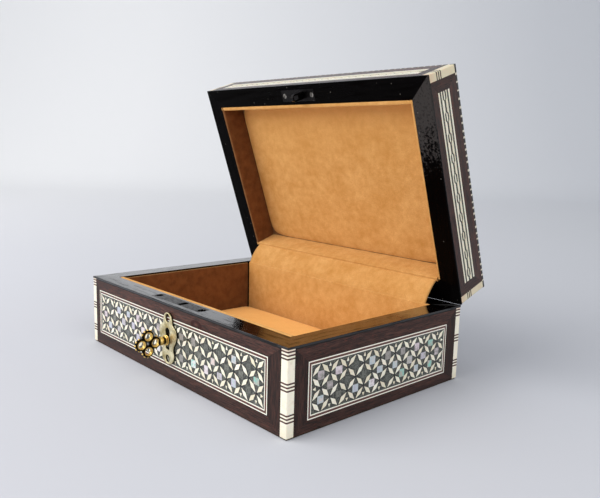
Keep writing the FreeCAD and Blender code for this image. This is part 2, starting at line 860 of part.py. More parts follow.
def make_lid_top():
    """Edging, veneer, stringing and mosaic on the top of the lid."""
    edge = (-width / 2, width / 2, -depth / 2, depth / 2)
    surround = grown(edge, -edging)
    step = lid_cell / 2
    across = steps_that_fit(width - 2 * (edging + lid_margin + stringing), step)
    up = steps_that_fit(depth - 2 * (edging + lid_margin + stringing), step)
    field = (-across * step / 2, across * step / 2, -up * step / 2, up * step / 2)
    panel = inlaid_panel(surround, field, step, 1)
    names = {
        "veneer": "lid_top_veneer",
        "bone_lines": "lid_bone_stringing",
        "wood_lines": "lid_wood_stringing",
        "ground": "lid_mosaic_ground",
        "petals": "lid_petals",
        "drops": "lid_drops",
        "pearls": "lid_pearls",
    }
    for kind, name in names.items():
        add(name, *[on_top(piece) for piece in panel[kind]])
    add("lid_edging", *[on_top(piece) for piece in mitred_frame(edge, surround, 0, skin)])


def make_lid_lining():
    """Lining boards and crowned panel in the lid."""
    for side in SIDES:
        add("lid_linings", lining_board(side, lid_low, lid_low + lid_board_low))
    pad = crowned_pad(lid_pad_edge, lid_pad_crown)
    pad.rotate(V(), X_AXIS, 180)
    pad.translate(V(0, 0, lid_low + lid_board_low))
    add("lid_pad", pad)


def make_strike():
    """Strike plate in the lid rim with the staple that drops into the lock, and the lid's screws."""
    half_x = strike_length / 2
    half_y = strike_width / 2
    top = block(front_offset - half_x, front_offset + half_x, bolt_middle - half_y, bolt_middle + half_y,
                lid_low, lid_low + strike_thickness)
    left = staple_left
    half = staple_width / 2
    round_z = lid_low - staple_length + half
    stem = block(left, left + staple_thickness, bolt_middle - half, bolt_middle + half, round_z, lid_low)
    end = Part.makeCylinder(half, staple_thickness, V(left, bolt_middle, round_z), X_AXIS)
    eye_y = bolt_thickness / 2 + eye_fit
    eye_high = base_height - bolt_tongue_drop + eye_fit
    eye_low = base_height - bolt_tongue_drop - bolt_tongue - eye_fit
    eye = block(left, left + staple_thickness, bolt_middle - eye_y, bolt_middle + eye_y, eye_low, eye_high)
    holes = [screw_hole(x, y, lid_low, 1) for x, y in strike_screw_places()]
    add("strike_plate", top.fuse([stem, end]).cut([eye] + holes).removeSplitter())
    places = strike_screw_places() + hinge_screw_places()
    add("lid_screws", *[screw(x, y, lid_low, 1) for x, y in places])


def export():
    """Swing the lid pieces open and write one file per node."""
    os.makedirs("parts", exist_ok=True)
    swinging = ("lid_", "chain_", "strike_", "hinge_lid_")
    for name, solids in nodes.items():
        shape = solids[0] if len(solids) == 1 else Part.makeCompound(solids)
        if name.startswith(swinging):
            shape.rotate(V(0, hinge_y, hinge_z), X_AXIS, -open_angle)
        faults = [k for k, solid in enumerate(shape.Solids) if not solid.isValid()]
        print(f"{name}: {len(shape.Solids)} solids, {shape.Volume:.1f} mm3, faults {faults}")
        shape.exportStep(f"parts/{name}.step")


make_base_walls()
make_floor()
make_base_faces()
make_base_corners()
make_base_lining()
make_gusset()
make_lock_case()
make_lock_hub()
make_lock_bolt()
make_escutcheon()
make_key()
make_hinges()
make_lid_walls()
make_lid_sides()
make_lid_top()
make_lid_lining()
make_strike()
export()
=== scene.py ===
# %% [markdown]
# # A velvet-lined box inlaid with bone and mother-of-pearl
# The CAD frame fixes the size and place of all sixty pieces, and this file gives them their looks.
# Flat, hard pieces keep their CAD shape and only get a finish. Pieces that are softer, rounder or more
# hand-made than a solid are worked out again as numpy surfaces, and stand in for their CAD node.

# %% Load the frame
import json
import math
from functools import partial
import bmesh
import bpy
import numpy as np
from mathutils import Matrix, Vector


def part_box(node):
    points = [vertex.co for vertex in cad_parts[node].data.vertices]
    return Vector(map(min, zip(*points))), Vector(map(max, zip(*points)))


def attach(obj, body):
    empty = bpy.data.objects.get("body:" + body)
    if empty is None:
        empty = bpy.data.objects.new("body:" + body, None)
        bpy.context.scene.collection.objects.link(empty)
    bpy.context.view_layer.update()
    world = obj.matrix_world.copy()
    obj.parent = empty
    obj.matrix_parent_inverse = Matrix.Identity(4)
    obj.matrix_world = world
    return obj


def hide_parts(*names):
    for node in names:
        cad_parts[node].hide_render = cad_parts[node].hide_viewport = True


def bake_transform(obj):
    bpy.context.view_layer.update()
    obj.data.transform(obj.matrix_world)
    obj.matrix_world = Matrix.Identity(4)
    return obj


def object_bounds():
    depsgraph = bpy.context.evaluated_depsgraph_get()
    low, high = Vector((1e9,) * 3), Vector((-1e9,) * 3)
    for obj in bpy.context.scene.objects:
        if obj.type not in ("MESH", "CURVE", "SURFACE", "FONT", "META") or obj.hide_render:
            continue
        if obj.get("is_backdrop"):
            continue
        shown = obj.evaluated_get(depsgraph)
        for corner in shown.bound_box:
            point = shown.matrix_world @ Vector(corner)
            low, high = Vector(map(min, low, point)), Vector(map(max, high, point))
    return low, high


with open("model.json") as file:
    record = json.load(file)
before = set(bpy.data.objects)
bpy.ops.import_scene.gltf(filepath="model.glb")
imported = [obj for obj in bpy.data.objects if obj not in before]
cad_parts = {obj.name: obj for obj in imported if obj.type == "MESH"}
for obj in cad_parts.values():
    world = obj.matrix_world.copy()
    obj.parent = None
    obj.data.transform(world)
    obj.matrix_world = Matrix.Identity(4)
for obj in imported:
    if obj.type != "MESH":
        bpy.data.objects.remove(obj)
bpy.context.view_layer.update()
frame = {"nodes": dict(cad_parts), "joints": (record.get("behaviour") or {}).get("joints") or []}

MM = 0.001
SEED = 71
chance = np.random.default_rng(SEED)

# %% [markdown]
# ## The lid, shut and open
# The lid is packed open. Its pattern is far easier to lay out while it is shut, because then its faces line
# up with the axes. So lid pieces are worked out shut and swung open at the end, about the hinge line.

# %% Swing points about the hinge
hinge = next(joint for joint in frame["joints"] if joint["name"] == "lid_hinge")
hinge_line = np.array(hinge["pos_m"])
open_turn = math.radians(hinge["range_deg"][1])
BASE, LID = 0, 1
BODY = ("base", "lid")


def turned(first, second, angle):
    """Two coordinates turned by an angle: (a cos - b sin, a sin + b cos)."""
    cosine, sine = np.cos(angle), np.sin(angle)
    return cosine * first - sine * second, sine * first + cosine * second


def about_hinge(points, turn):
    """Turn points about the hinge line, which runs along X: y and z mix by the turn's cosine and sine."""
    away = np.asarray(points, float) - hinge_line
    return np.stack([away[..., 0], *turned(away[..., 1], away[..., 2], turn)], -1) + hinge_line


def shut(points):
    """Points of the open lid, brought to where they are when it is shut."""
    return about_hinge(points, open_turn)


def swung_open(points):
    """Points of the shut lid, brought to where they are when it is open."""
    return about_hinge(points, -open_turn)


def as_shut(points, lid):
    """Points of the base as they are, and points of the lid brought to where they are when it is shut."""
    return shut(points) if lid else points


def as_packed(points, lid):
    """Points of the base as they are, and points of the shut lid swung open."""
    return swung_open(points) if lid else points


print("lid opens by", round(math.degrees(open_turn)), "degrees")

# %% [markdown]
# ## Reading a CAD node
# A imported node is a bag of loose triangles. Joining equal corners shows which triangles belong to one
# solid, so that a node of four hundred tiles can be treated tile by tile, as whole arrays.

# %% Weld a node and number its solids
WELD = 1e-6


def mesh_points(mesh):
    """Points of a mesh, as an array of points by xyz."""
    places = np.empty(len(mesh.vertices) * 3)
    mesh.vertices.foreach_get("co", places)
    return places.reshape(-1, 3)


def node_corners(node):
    """Corners of a node's triangles, as an array of triangles by corners by xyz."""
    mesh = frame["nodes"][node].data
    order = np.empty(len(mesh.loops), np.int32)
    mesh.loops.foreach_get("vertex_index", order)
    return mesh_points(mesh)[order].reshape(-1, 3, 3)


def node_points(node, lid):
    """Corners of a node's triangles as a list of points, with the lid shut."""
    return as_shut(node_corners(node).reshape(-1, 3), lid)


def welded(node):
    """Points and triangles of a node with equal corners joined, and the number of the solid of each point.

    Every point starts with its own number. Each triangle passes its lowest number to its corners, again
    and again, until the numbers stop falling. Points with the same number belong to one solid.
    """
    corners = node_corners(node).reshape(-1, 3)
    rounded = np.round(corners / WELD)
    first, where = np.unique(rounded, axis=0, return_index=True, return_inverse=True)[1:]
    faces = where.reshape(-1, 3)
    distinct = (faces != np.roll(faces, 1, axis=1)).all(axis=1)
    faces = faces[distinct]
    number = np.arange(len(first))
    falling = True
    while falling:
        lower = number.copy()
        np.minimum.at(lower, faces.ravel(), np.repeat(number[faces].min(axis=1), 3))
        falling = bool((lower != number).any())
        number = lower
    solid = np.unique(number, return_inverse=True)[1].reshape(-1)
    return corners[first], faces, solid


print("petals on the base:", welded("bone_petals")[2].max() + 1)

# %% [markdown]
# ## Putting a piece into the scene
# Every new piece is made the same way: points and faces go into a mesh, the mesh stays at the origin, and
# the piece rides on its body and takes the place of the CAD nodes that it stands for.

# %% Mesh helpers
scene = bpy.context.scene
MERGE, SOFT_MERGE, FINE_MERGE = 1e-7, 1e-6, 1e-9


def full_turn(count):
    """Angles of a full turn, without its end."""
    return np.linspace(0, 2 * math.pi, count, endpoint=False)


def signed_power(value, power):
    """Power of the size of a value, with its sign kept."""
    return np.sign(value) * np.abs(value) ** power


def grid_faces(rows, columns, round_rows=False, round_columns=False):
    """Quads of a grid of points; a grid that is round one way also joins its last line to its first."""
    row = np.arange(rows if round_rows else rows - 1)[:, None]
    column = np.arange(columns if round_columns else columns - 1)[None, :]
    next_row = (row + 1) % rows
    next_column = (column + 1) % columns
    ring = (row * columns + column, row * columns + next_column,
            next_row * columns + next_column, next_row * columns + column)
    return np.stack(np.broadcast_arrays(*ring), -1).reshape(-1, 4)


def repeated(faces, count, points_each):
    """The faces of one shape, repeated for a number of copies whose points follow each other."""
    return (faces[None] + np.arange(count)[:, None, None] * points_each).reshape(-1, faces.shape[1])


def attribute(mesh, name, values):
    """Store a number or a vector at each point of a mesh, for its material to read."""
    values = np.asarray(values, np.float32)
    kind, field = ("FLOAT_VECTOR", "vector") if values.ndim == 2 else ("FLOAT", "value")
    mesh.attributes.new(name, kind, "POINT").data.foreach_set(field, values.ravel())


def tidy_shell(mesh, merge=MERGE, flat=None):
    """Join doubles, point the faces outwards and, if asked, melt triangles that lie in one plane together."""
    shell = bmesh.new()
    shell.from_mesh(mesh)
    bmesh.ops.remove_doubles(shell, verts=shell.verts, dist=merge)
    if flat:
        bmesh.ops.dissolve_limit(shell, angle_limit=flat, verts=shell.verts, edges=shell.edges)
    bmesh.ops.recalc_face_normals(shell, faces=shell.faces)
    shell.to_mesh(mesh)
    shell.free()


def merged(shapes):
    """Points and faces of several shapes as one: the faces of each count on from the points before it."""
    points, faces = zip(*shapes)
    start = np.cumsum([0] + [len(part) for part in points[:-1]])
    return np.concatenate(points), np.concatenate([part + first for part, first in zip(faces, start)])


def new_mesh(name, points, faces):
    """Mesh from arrays of points and faces."""
    mesh = bpy.data.meshes.new(name)
    mesh.from_pydata(np.asarray(points, float).tolist(), [], np.asarray(faces).tolist())
    return mesh


def add_piece(name, mesh, finish, body, stands_for=(), smooth_angle=None):
    """Put a mesh into the scene as a piece that rides on a body and stands for CAD nodes."""
    piece = bpy.data.objects.new(name, mesh)
    scene.collection.objects.link(piece)
    mesh.materials.append(finish)
    if smooth_angle is not None:
        mesh.shade_smooth()
        mesh.set_sharp_from_angle(angle=math.radians(smooth_angle))
    if body:
        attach(piece, body)
    if stands_for:
        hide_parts(*stands_for)
    return piece


def dress(finish, *names):
    """Give CAD nodes a finish in place of their packed one."""
    for name in names:
        mesh = frame["nodes"][name].data
        mesh.materials.clear()
        mesh.materials.append(finish)


print("helpers ready")

# %% [markdown]
# ## The faces that carry the inlay
# The base and the lid have the same four sides, and the lid has a top. A face is a plane with a middle, a
# direction along it, a direction up it and a direction out of it. A pattern is drawn on a face in two
# numbers, along and up, plus a depth below the surface, and then carried into space.

# %% Faces and how to draw on them
box_low, box_high = (np.array(corner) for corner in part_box("wall_front"))
half_width = box_high[0]
half_depth = -box_low[1]
base_rim = box_high[2]
lid_points = node_points("lid_edging", LID)
lid_top = lid_points[:, 2].max()
lid_rim = node_points("lid_wall_front", LID)[:, 2].min()
skin = 1.2 * MM
NEAR = 0.1 * MM

X, Y, Z = np.eye(3)
FACES = {
    "front": (-Y * half_depth, X, Z, -Y),
    "right": (X * half_width, Y, Z, X),
    "back": (Y * half_depth, -X, Z, Y),
    "left": (-X * half_width, -Y, Z, -X),
    "top": (Z * lid_top, X, Y, Z),
}
SIDES = ("front", "right", "back", "left")


def on_face(face, flat, depth, lid):
    """Points in space for (along, up) pairs at a depth below a face: middle + along + up - depth * out."""
    middle, along, up, out = FACES[face]
    flat = np.asarray(flat, float)
    depth = np.broadcast_to(depth, flat.shape[:-1])[..., None]
    points = middle + flat[..., :1] * along + flat[..., 1:] * up - depth * out
    return as_packed(points, lid)


def rectangle_on(face, node, lid):
    """Rectangle (left, right, low, high) that a node covers in the skin of one face."""
    middle, along, up, out = FACES[face]
    away = node_points(node, lid) - middle
    depth = -away @ out
    near = away[(depth > -NEAR) & (depth < skin + NEAR)]
    return np.array([(near @ along).min(), (near @ along).max(), (near @ up).min(), (near @ up).max()])


print("rim of the base at", round(base_rim / MM, 2), "mm, of the shut lid at", round(lid_rim / MM, 2), "mm")

# %% [markdown]
# ## Building materials from nodes
# Each finish is a Principled shader with a few textures in front of it. These helpers keep the recipes short:
# one adds a node, one feeds a socket with a link or a plain value, and others mix colours and do sums.

# %% Node helpers


def paint(red, green, blue):
    """Linear colour for a colour that is written as the screen shows it, from 0 to 255."""
    screen = np.array([red, green, blue]) / 255
    linear = np.where(screen <= 0.04045, screen / 12.92, ((screen + 0.055) / 1.055) ** 2.4)
    return (*(float(part) for part in linear), 1.0)


def feed(tree, value, socket):
    """Link a socket to another one, or set it to a plain value."""
    if isinstance(value, bpy.types.NodeSocket):
        tree.links.new(value, socket)
    else:
        socket.default_value = value


def add_node(tree, kind, settings=None, **inputs):
    """Add a shader node with its settings, and feed its named inputs."""
    node = tree.nodes.new("ShaderNode" + kind)
    for name, value in (settings or {}).items():
        setattr(node, name, value)
    for name, value in inputs.items():
        feed(tree, value, node.inputs[name.replace("_", " ")])
    return node


MIX_SHARE, MIX_FIRST, MIX_SECOND, MIX_RESULT = 0, 6, 7, 2


def mixed(tree, share, first, second):
    """Colour that goes from the first to the second as the share goes from 0 to 1."""
    node = add_node(tree, "Mix", {"data_type": "RGBA"})
    for value, place in ((share, MIX_SHARE), (first, MIX_FIRST), (second, MIX_SECOND)):
        feed(tree, value, node.inputs[place])
    return node.outputs[MIX_RESULT]


def sum_of(tree, operation, *values):
    """Result of one arithmetic step on one or two values."""
    node = add_node(tree, "Math", {"operation": operation})
    for place, value in enumerate(values):
        feed(tree, value, node.inputs[place])
    return node.outputs[0]


def times(tree, first, second):
    """Product of two values."""
    return sum_of(tree, "MULTIPLY", first, second)


def plus(tree, first, second):
    """Sum of two values."""
    return sum_of(tree, "ADD", first, second)


def spread(tree, value, low, high, to_low=0.0, to_high=1.0):
    """Value stretched so that low to high becomes to_low to to_high, and held inside those ends."""
    node = add_node(tree, "MapRange", {"clamp": True}, Value=value, From_Min=low, From_Max=high,
                    To_Min=to_low, To_Max=to_high)
    return node.outputs["Result"]


def between(tree, share, first, second):
    """Number that goes from the first to the second as the share goes from 0 to 1."""
    return spread(tree, share, 0.0, 1.0, first, second)


def stored(tree, name, output="Fac"):
    """What a mesh stores at its points: a number, or a vector if that output is asked for."""
    return add_node(tree, "Attribute", {"attribute_name": name}).outputs[output]


def finish(name, **sockets):
    """New material with a Principled shader: its tree, its shader and the material itself."""
    material = bpy.data.materials.new(name)
    material.use_nodes = True
    shader = material.node_tree.nodes["Principled BSDF"]
    for socket, value in sockets.items():
        shader.inputs[socket.replace("_", " ")].default_value = value
    return material.node_tree, shader, material


def bumped(tree, shader, height, strength, distance):
    """Let a height raise and lower the surface in the shader's normal."""
    bump = add_node(tree, "Bump", Strength=strength, Distance=distance, Height=height)
    tree.links.new(bump.outputs["Normal"], shader.inputs["Normal"])


print("node helpers ready")

# %% [markdown]
# ## Effects that several finishes share
# Hand work is never even: polish is patchy, grain runs in short strokes, and old surfaces carry pits. Each of
# these is a node group, so that walnut, lacquer, bone, velvet and brass can all use it with their own values.

# %% Three shared groups


def shared_group(name, inputs, outputs):
    """Empty node group with number inputs (or a vector), number outputs, and its two end nodes."""
    group = bpy.data.node_groups.new(name, "ShaderNodeTree")
    for label, value in inputs.items():
        kind = "NodeSocketVector" if value is None else "NodeSocketFloat"
        socket = group.interface.new_socket(label, in_out="INPUT", socket_type=kind)
        if value is not None:
            socket.default_value = value
    for label in outputs:
        group.interface.new_socket(label, in_out="OUTPUT", socket_type="NodeSocketFloat")
    return group, group.nodes.new("NodeGroupInput").outputs, group.nodes.new("NodeGroupOutput").inputs


uneven, given, result = shared_group("uneven", {"Vector": None, "Scale": 100.0, "Low": 0.35, "High": 0.65},
                                     ["Share"])
soft = add_node(uneven, "TexNoise", Vector=given["Vector"], Scale=given["Scale"], Detail=5.0, Roughness=0.6)
uneven.links.new(spread(uneven, soft.outputs["Fac"], given["Low"], given["High"]), result["Share"])

strokes, given, result = shared_group("grain_strokes", {"Vector": None, "Length": 6 * MM, "Gap": 0.5 * MM},
                                      ["Stroke", "Band"])
ends = add_node(strokes, "CombineXYZ", **{axis: sum_of(strokes, "DIVIDE", 1.0, given[size])
                                          for axis, size in (("X", "Length"), ("Y", "Gap"), ("Z", "Gap"))})
drawn = add_node(strokes, "VectorMath", {"operation": "MULTIPLY"})
feed(strokes, given["Vector"], drawn.inputs[0])
feed(strokes, ends.outputs[0], drawn.inputs[1])
fine = add_node(strokes, "TexNoise", Vector=drawn.outputs[0], Scale=1.0, Detail=4.0, Roughness=0.65,
                Distortion=0.3)
wide = add_node(strokes, "TexNoise", Vector=drawn.outputs[0], Scale=0.16, Detail=2.0, Roughness=0.5)
strokes.links.new(spread(strokes, fine.outputs["Fac"], 0.36, 0.68), result["Stroke"])
strokes.links.new(spread(strokes, wide.outputs["Fac"], 0.35, 0.65), result["Band"])

pits, given, result = shared_group("pits", {"Vector": None, "Scale": 900.0, "Size": 0.25}, ["Pit"])
spots = add_node(pits, "TexVoronoi", Vector=given["Vector"], Scale=given["Scale"], Randomness=1.0)
edge = sum_of(pits, "MULTIPLY", given["Size"], 1.6)
pits.links.new(spread(pits, spots.outputs["Distance"], given["Size"], edge, 1.0, 0.0), result["Pit"])


def use(tree, group, output, **inputs):
    """Place a shared group in a material and return one of its outputs."""
    node = tree.nodes.new("ShaderNodeGroup")
    node.node_tree = group
    for name, value in inputs.items():
        feed(tree, value, node.inputs[name])
    return node.outputs[output]


def cloud(tree, place, scale, low, high):
    """Soft clouds of a scale: 0 where the noise is under low, 1 where it is over high."""
    return use(tree, uneven, "Share", Vector=place, Scale=scale, Low=low, High=high)


def stroke_of(tree, place, length, gap):
    """Short strokes of a length and with a gap between them, along the first coordinate of a place."""
    return use(tree, strokes, "Stroke", Vector=place, Length=length, Gap=gap)


def here(tree, turn=0.0):
    """Object coordinates, turned about X so that an open lid reads them as if it were shut."""
    place = add_node(tree, "TexCoord").outputs["Object"]
    if turn:
        place = add_node(tree, "Mapping", Vector=place, Rotation=(turn, 0.0, 0.0)).outputs[0]
    return place


print("shared groups:", [group.name for group in bpy.data.node_groups])

# %% [markdown]
# ## Wood and lacquer
# The veneer is dark walnut, cut so that short red-brown strokes run along each rail. The rims and the whole
# inner frame of the lid are black lacquer, brushed on by hand, so its gloss is patchy and it laps over the
# veneer in an uneven line. Both are thin glossy coats over colour, which the coat of the shader gives.

# %% Walnut veneer and black lacquer


def ellipse(tree, place, middle, half):
    """Squared distance ((X - x) / a)^2 + ((Z - z) / b)^2 from the middle of an ellipse of halves a, b."""
    squares = []
    for axis, centre, size in zip("XZ", middle, half):
        away = sum_of(tree, "DIVIDE", sum_of(tree, "SUBTRACT", place.outputs[axis], centre), size)
        squares.append(times(tree, away, away))
    return plus(tree, *squares)


KNOT_MIDDLE, KNOT_HALF = np.array([20.0, 1.5]) * MM, np.array([3.2, 1.5]) * MM
STREAK_MIDDLE, STREAK_HALF = np.array([23.0, 0.3]) * MM, np.array([8.5, 0.6]) * MM
FRONT_LAYER = 1 * MM


def knot_mark(tree):
    """Curl of a small knot with a dark streak under it, on the front face: a ring and a filled ellipse."""
    place = add_node(tree, "SeparateXYZ", Vector=here(tree))
    panel_top = np.array([0.0, FACES["front"][0][2] + rectangle_on("front", "bone_stringing", BASE)[3]])
    ring = ellipse(tree, place, panel_top + KNOT_MIDDLE, KNOT_HALF)
    ring = sum_of(tree, "ABSOLUTE", sum_of(tree, "SUBTRACT", ring, 1.0))
    streak = ellipse(tree, place, panel_top + STREAK_MIDDLE, STREAK_HALF)
    mark = sum_of(tree, "MAXIMUM", spread(tree, ring, 0.5, 1.0, 0.95, 0.0),
                  spread(tree, streak, 0.4, 1.0, 0.8, 0.0))
    in_front = sum_of(tree, "LESS_THAN", place.outputs["Y"], FRONT_LAYER - half_depth)
    return times(tree, mark, in_front)


WALNUT_DARK, WALNUT_LIGHT, WALNUT_RED = paint(22, 14, 12), paint(98, 65, 56), paint(122, 52, 38)
KNOT_BROWN = paint(46, 12, 7)
LAP_BLACK = paint(10, 8, 8)
LAP = 0.6 * MM


def walnut(name, polish):
    """Walnut whose strokes and red flecks follow the stored grain; lacquer laps over it near a rim."""
    tree, shader, material = finish(name, IOR=1.5, Specular_IOR_Level=0.2, Coat_Roughness=0.18)
    grain = stored(tree, "grain", "Vector")
    stroke = stroke_of(tree, grain, 6.5 * MM, 0.42 * MM)
    band = use(tree, strokes, "Band", Vector=grain, Length=12 * MM, Gap=0.7 * MM)
    fleck = stroke_of(tree, grain, 2.8 * MM, 0.3 * MM)
    plain = mixed(tree, times(tree, stroke, between(tree, band, 0.35, 1.0)), WALNUT_DARK, WALNUT_LIGHT)
    wood = mixed(tree, spread(tree, fleck, 0.7, 1.0, 0.0, 0.55), plain, WALNUT_RED)
    tone = between(tree, stored(tree, "tint"), 0.55, 1.3)
    toned = add_node(tree, "VectorMath", {"operation": "SCALE"})
    feed(tree, wood, toned.inputs[0])
    feed(tree, tone, toned.inputs["Scale"])
    ragged = cloud(tree, here(tree), 420.0, 0.2, 0.8)
    reach = between(tree, ragged, 0.35 * LAP, LAP)
    lapped = sum_of(tree, "LESS_THAN", stored(tree, "rim"), reach)
    marked = mixed(tree, knot_mark(tree), toned.outputs[0], KNOT_BROWN)
    feed(tree, mixed(tree, lapped, marked, LAP_BLACK), shader.inputs["Base Color"])
    feed(tree, between(tree, stroke, 0.4, 0.58), shader.inputs["Roughness"])
    feed(tree, between(tree, band, polish, 0.6 * polish), shader.inputs["Coat Weight"])
    bumped(tree, shader, stroke, 0.25, 0.05 * MM)
    return material


WALNUT = (walnut("walnut_veneer", 0.07), walnut("walnut_veneer_of_lid", 0.5))
LACQUER_BLACK, LACQUER_GREY, LACQUER_SPECK = paint(4, 3, 3), paint(56, 53, 52), paint(150, 146, 138)


def lacquer(name, gloss):
    """Black lacquer with brush marks and pale specks; a stored wear turns it grey and dull in patches."""
    tree, shader, material = finish(name, IOR=1.5, Specular_IOR_Level=0.5 * gloss, Coat_Roughness=0.06)
    place = stored(tree, "grain", "Vector")
    dabs = cloud(tree, place, 900.0, 0.4, 0.6)
    brushed = stroke_of(tree, place, 20 * MM, 0.9 * MM)
    speck = use(tree, pits, "Pit", Vector=place, Scale=230.0, Size=0.05)
    wear = spread(tree, stored(tree, "worn"), 0.5, 0.85)
    dull = spread(tree, plus(tree, wear, times(tree, dabs, 0.6)), 0.75, 1.15)
    coat = mixed(tree, dull, LACQUER_BLACK, LACQUER_GREY)
    feed(tree, mixed(tree, times(tree, speck, 0.25), coat, LACQUER_SPECK), shader.inputs["Base Color"])
    streak = stroke_of(tree, place, 9 * MM, 1.3 * MM)
    rough = plus(tree, times(tree, spread(tree, streak, 0.5, 0.85), 0.8), dull)
    feed(tree, between(tree, rough, 0.04, 0.28), shader.inputs["Roughness"])
    bare = stroke_of(tree, place, 16 * MM, 1.6 * MM)
    feed(tree, spread(tree, bare, 0.55, 0.8, 1.4 * gloss, 0.0), shader.inputs["Coat Weight"])
    bumped(tree, shader, plus(tree, brushed, streak), 0.3, 0.06 * MM)
    return material


LACQUER = (lacquer("black_lacquer", 0.5), lacquer("black_lacquer_of_lid", 0.02))
print("wood finishes:", [item.name for item in WALNUT + LACQUER])

# %% [markdown]
# ## Bone, shell and mastic
# The pale pieces are bone: ivory, faintly streaked, with brown at a few cut ends. The dark glints between
# them are slivers of shell, each of another colour, set in a greenish black mastic that is scraped flush.
# Every tile stores a tint of its own, and the material picks its colour from that.

# %% Bone, mother-of-pearl and mastic
BONE_EVEN, BONE_YELLOW, BONE_WHITE = paint(252, 248, 234), paint(216, 204, 172), paint(252, 247, 230)
BONE_STREAK, BONE_GRIME, BONE_STAIN = paint(206, 188, 150), paint(170, 140, 100), paint(188, 84, 36)


def bone(name, turn, even=False):
    """Bone with fine streaks and a tint for each piece, or an even one; a stored stain turns it red-brown."""
    tree, shader, material = finish(name, IOR=1.54, Coat_Weight=0.25, Coat_Roughness=0.2,
                                    Subsurface_Weight=0.08, Subsurface_Scale=1 * MM)
    place = here(tree, turn)
    streak = stroke_of(tree, place, 4 * MM, 0.3 * MM)
    pale = BONE_EVEN
    if not even:
        pale = mixed(tree, stored(tree, "tint"), BONE_YELLOW, BONE_WHITE)
    lined = mixed(tree, times(tree, streak, 0.2), pale, BONE_STREAK)
    grime = cloud(tree, place, 320.0, 0.55, 0.78)
    worn = mixed(tree, times(tree, grime, 0.25), lined, BONE_GRIME)
    feed(tree, mixed(tree, stored(tree, "stain"), worn, BONE_STAIN), shader.inputs["Base Color"])
    feed(tree, between(tree, grime, 0.32, 0.5), shader.inputs["Roughness"])
    bumped(tree, shader, streak, 0.15, 0.04 * MM)
    return material


def both(make, name, *colours, **more):
    """A finish twice: for the base, and for the lid, whose pattern is read as if the lid were shut."""
    return make(name, 0.0, *colours, **more), make(name + "_of_lid", open_turn, *colours, **more)


BONE = both(bone, "bone")
BONE_LINE = both(bone, "bone_line", even=True)


def ramp(tree, value, stops):
    """Colour ramp through (place, colour) stops."""
    node = add_node(tree, "ValToRGB", Fac=value)
    while len(node.color_ramp.elements) < len(stops):
        node.color_ramp.elements.new(0.5)
    for element, (place, colour) in zip(node.color_ramp.elements, stops):
        element.position = place
        element.color = colour
    return node.outputs["Color"]


SHELL_COLOURS = [(0.0, paint(92, 95, 88)), (0.2, paint(112, 114, 105)), (0.38, paint(134, 134, 124)),
                 (0.46, paint(160, 154, 152)), (0.55, paint(216, 200, 208)), (0.63, paint(236, 234, 234)),
                 (0.69, paint(142, 208, 196)), (0.76, paint(180, 178, 164)), (0.86, paint(200, 194, 212)),
                 (0.93, paint(186, 202, 206)), (1.0, paint(224, 206, 200))]
SHELL_DARK, SHELL_LEAST, SHELL_DRIFT = 0.38, 0.43, 0.09
SHELL_CLOUD = paint(52, 54, 48)


def shell(name, turn):
    """Mother-of-pearl: a colour for each sliver, drifting in soft bands; the grey ones are clouded."""
    tree, shader, material = finish(name, IOR=1.55, Coat_Weight=0.4, Coat_Roughness=0.1, Metallic=0.1)
    place = here(tree, turn)
    tint = stored(tree, "tint")
    drift = cloud(tree, place, 520.0, 0.25, 0.75)
    bright = sum_of(tree, "GREATER_THAN", tint, SHELL_DARK)
    swing = times(tree, bright, between(tree, drift, -SHELL_DRIFT, SHELL_DRIFT))
    least = between(tree, bright, 0.0, SHELL_LEAST)
    shifted = sum_of(tree, "MAXIMUM", plus(tree, tint, swing), least)
    cloudy = cloud(tree, place, 1300.0, 0.4, 0.64)
    clouded = times(tree, cloudy, between(tree, bright, 0.8, 0.12))
    colour = mixed(tree, clouded, ramp(tree, shifted, SHELL_COLOURS), SHELL_CLOUD)
    feed(tree, colour, shader.inputs["Base Color"])
    feed(tree, between(tree, drift, 0.2, 0.4), shader.inputs["Roughness"])
    bumped(tree, shader, drift, 0.1, 0.05 * MM)
    return material


SHELL = both(shell, "mother_of_pearl")


def mastic(name, turn, deep, pale):
    """Dark filling: a deep colour, clouded with a paler one and scratched by the scraper."""
    tree, shader, material = finish(name, IOR=1.5, Coat_Weight=0.2, Coat_Roughness=0.2)
    place = here(tree, turn)
    cloudy = cloud(tree, place, 1400.0, 0.45, 0.66)
    scrape = stroke_of(tree, place, 3 * MM, 0.4 * MM)
    dark = mixed(tree, cloudy, deep, pale)
    feed(tree, mixed(tree, times(tree, scrape, 0.2), dark, pale), shader.inputs["Base Color"])
    feed(tree, between(tree, cloudy, 0.3, 0.5), shader.inputs["Roughness"])
    bumped(tree, shader, cloudy, 0.2, 0.06 * MM)
    return material


MASTIC = both(mastic, "dark_mastic", paint(26, 28, 26), paint(110, 113, 104))
BLACK_LINE = both(mastic, "black_line", paint(10, 11, 10), paint(34, 35, 32))
print("inlay finishes:", [item.name for item in BONE + BONE_LINE + SHELL + MASTIC + BLACK_LINE])

# %% [markdown]
# ## Lines, edging and corner bands
# The thin stringing round each panel is white, red-brown, white. The edge of the lid is a row of black and
# white dashes, and the bone corners are crossed by dark brown bands. These are small, so a streak and a tint
# are detail enough.

# %% Stringing wood and dashed edging


def small_wood(name, turn, dark, light):
    """Thin wooden inlay: streaked between two browns, half matt."""
    tree, shader, material = finish(name, IOR=1.5, Coat_Weight=0.2, Coat_Roughness=0.2)
    place = here(tree, turn)
    streak = stroke_of(tree, place, 4 * MM, 0.4 * MM)
    feed(tree, mixed(tree, streak, dark, light), shader.inputs["Base Color"])
    feed(tree, between(tree, streak, 0.35, 0.5), shader.inputs["Roughness"])
    bumped(tree, shader, streak, 0.2, 0.04 * MM)
    return material


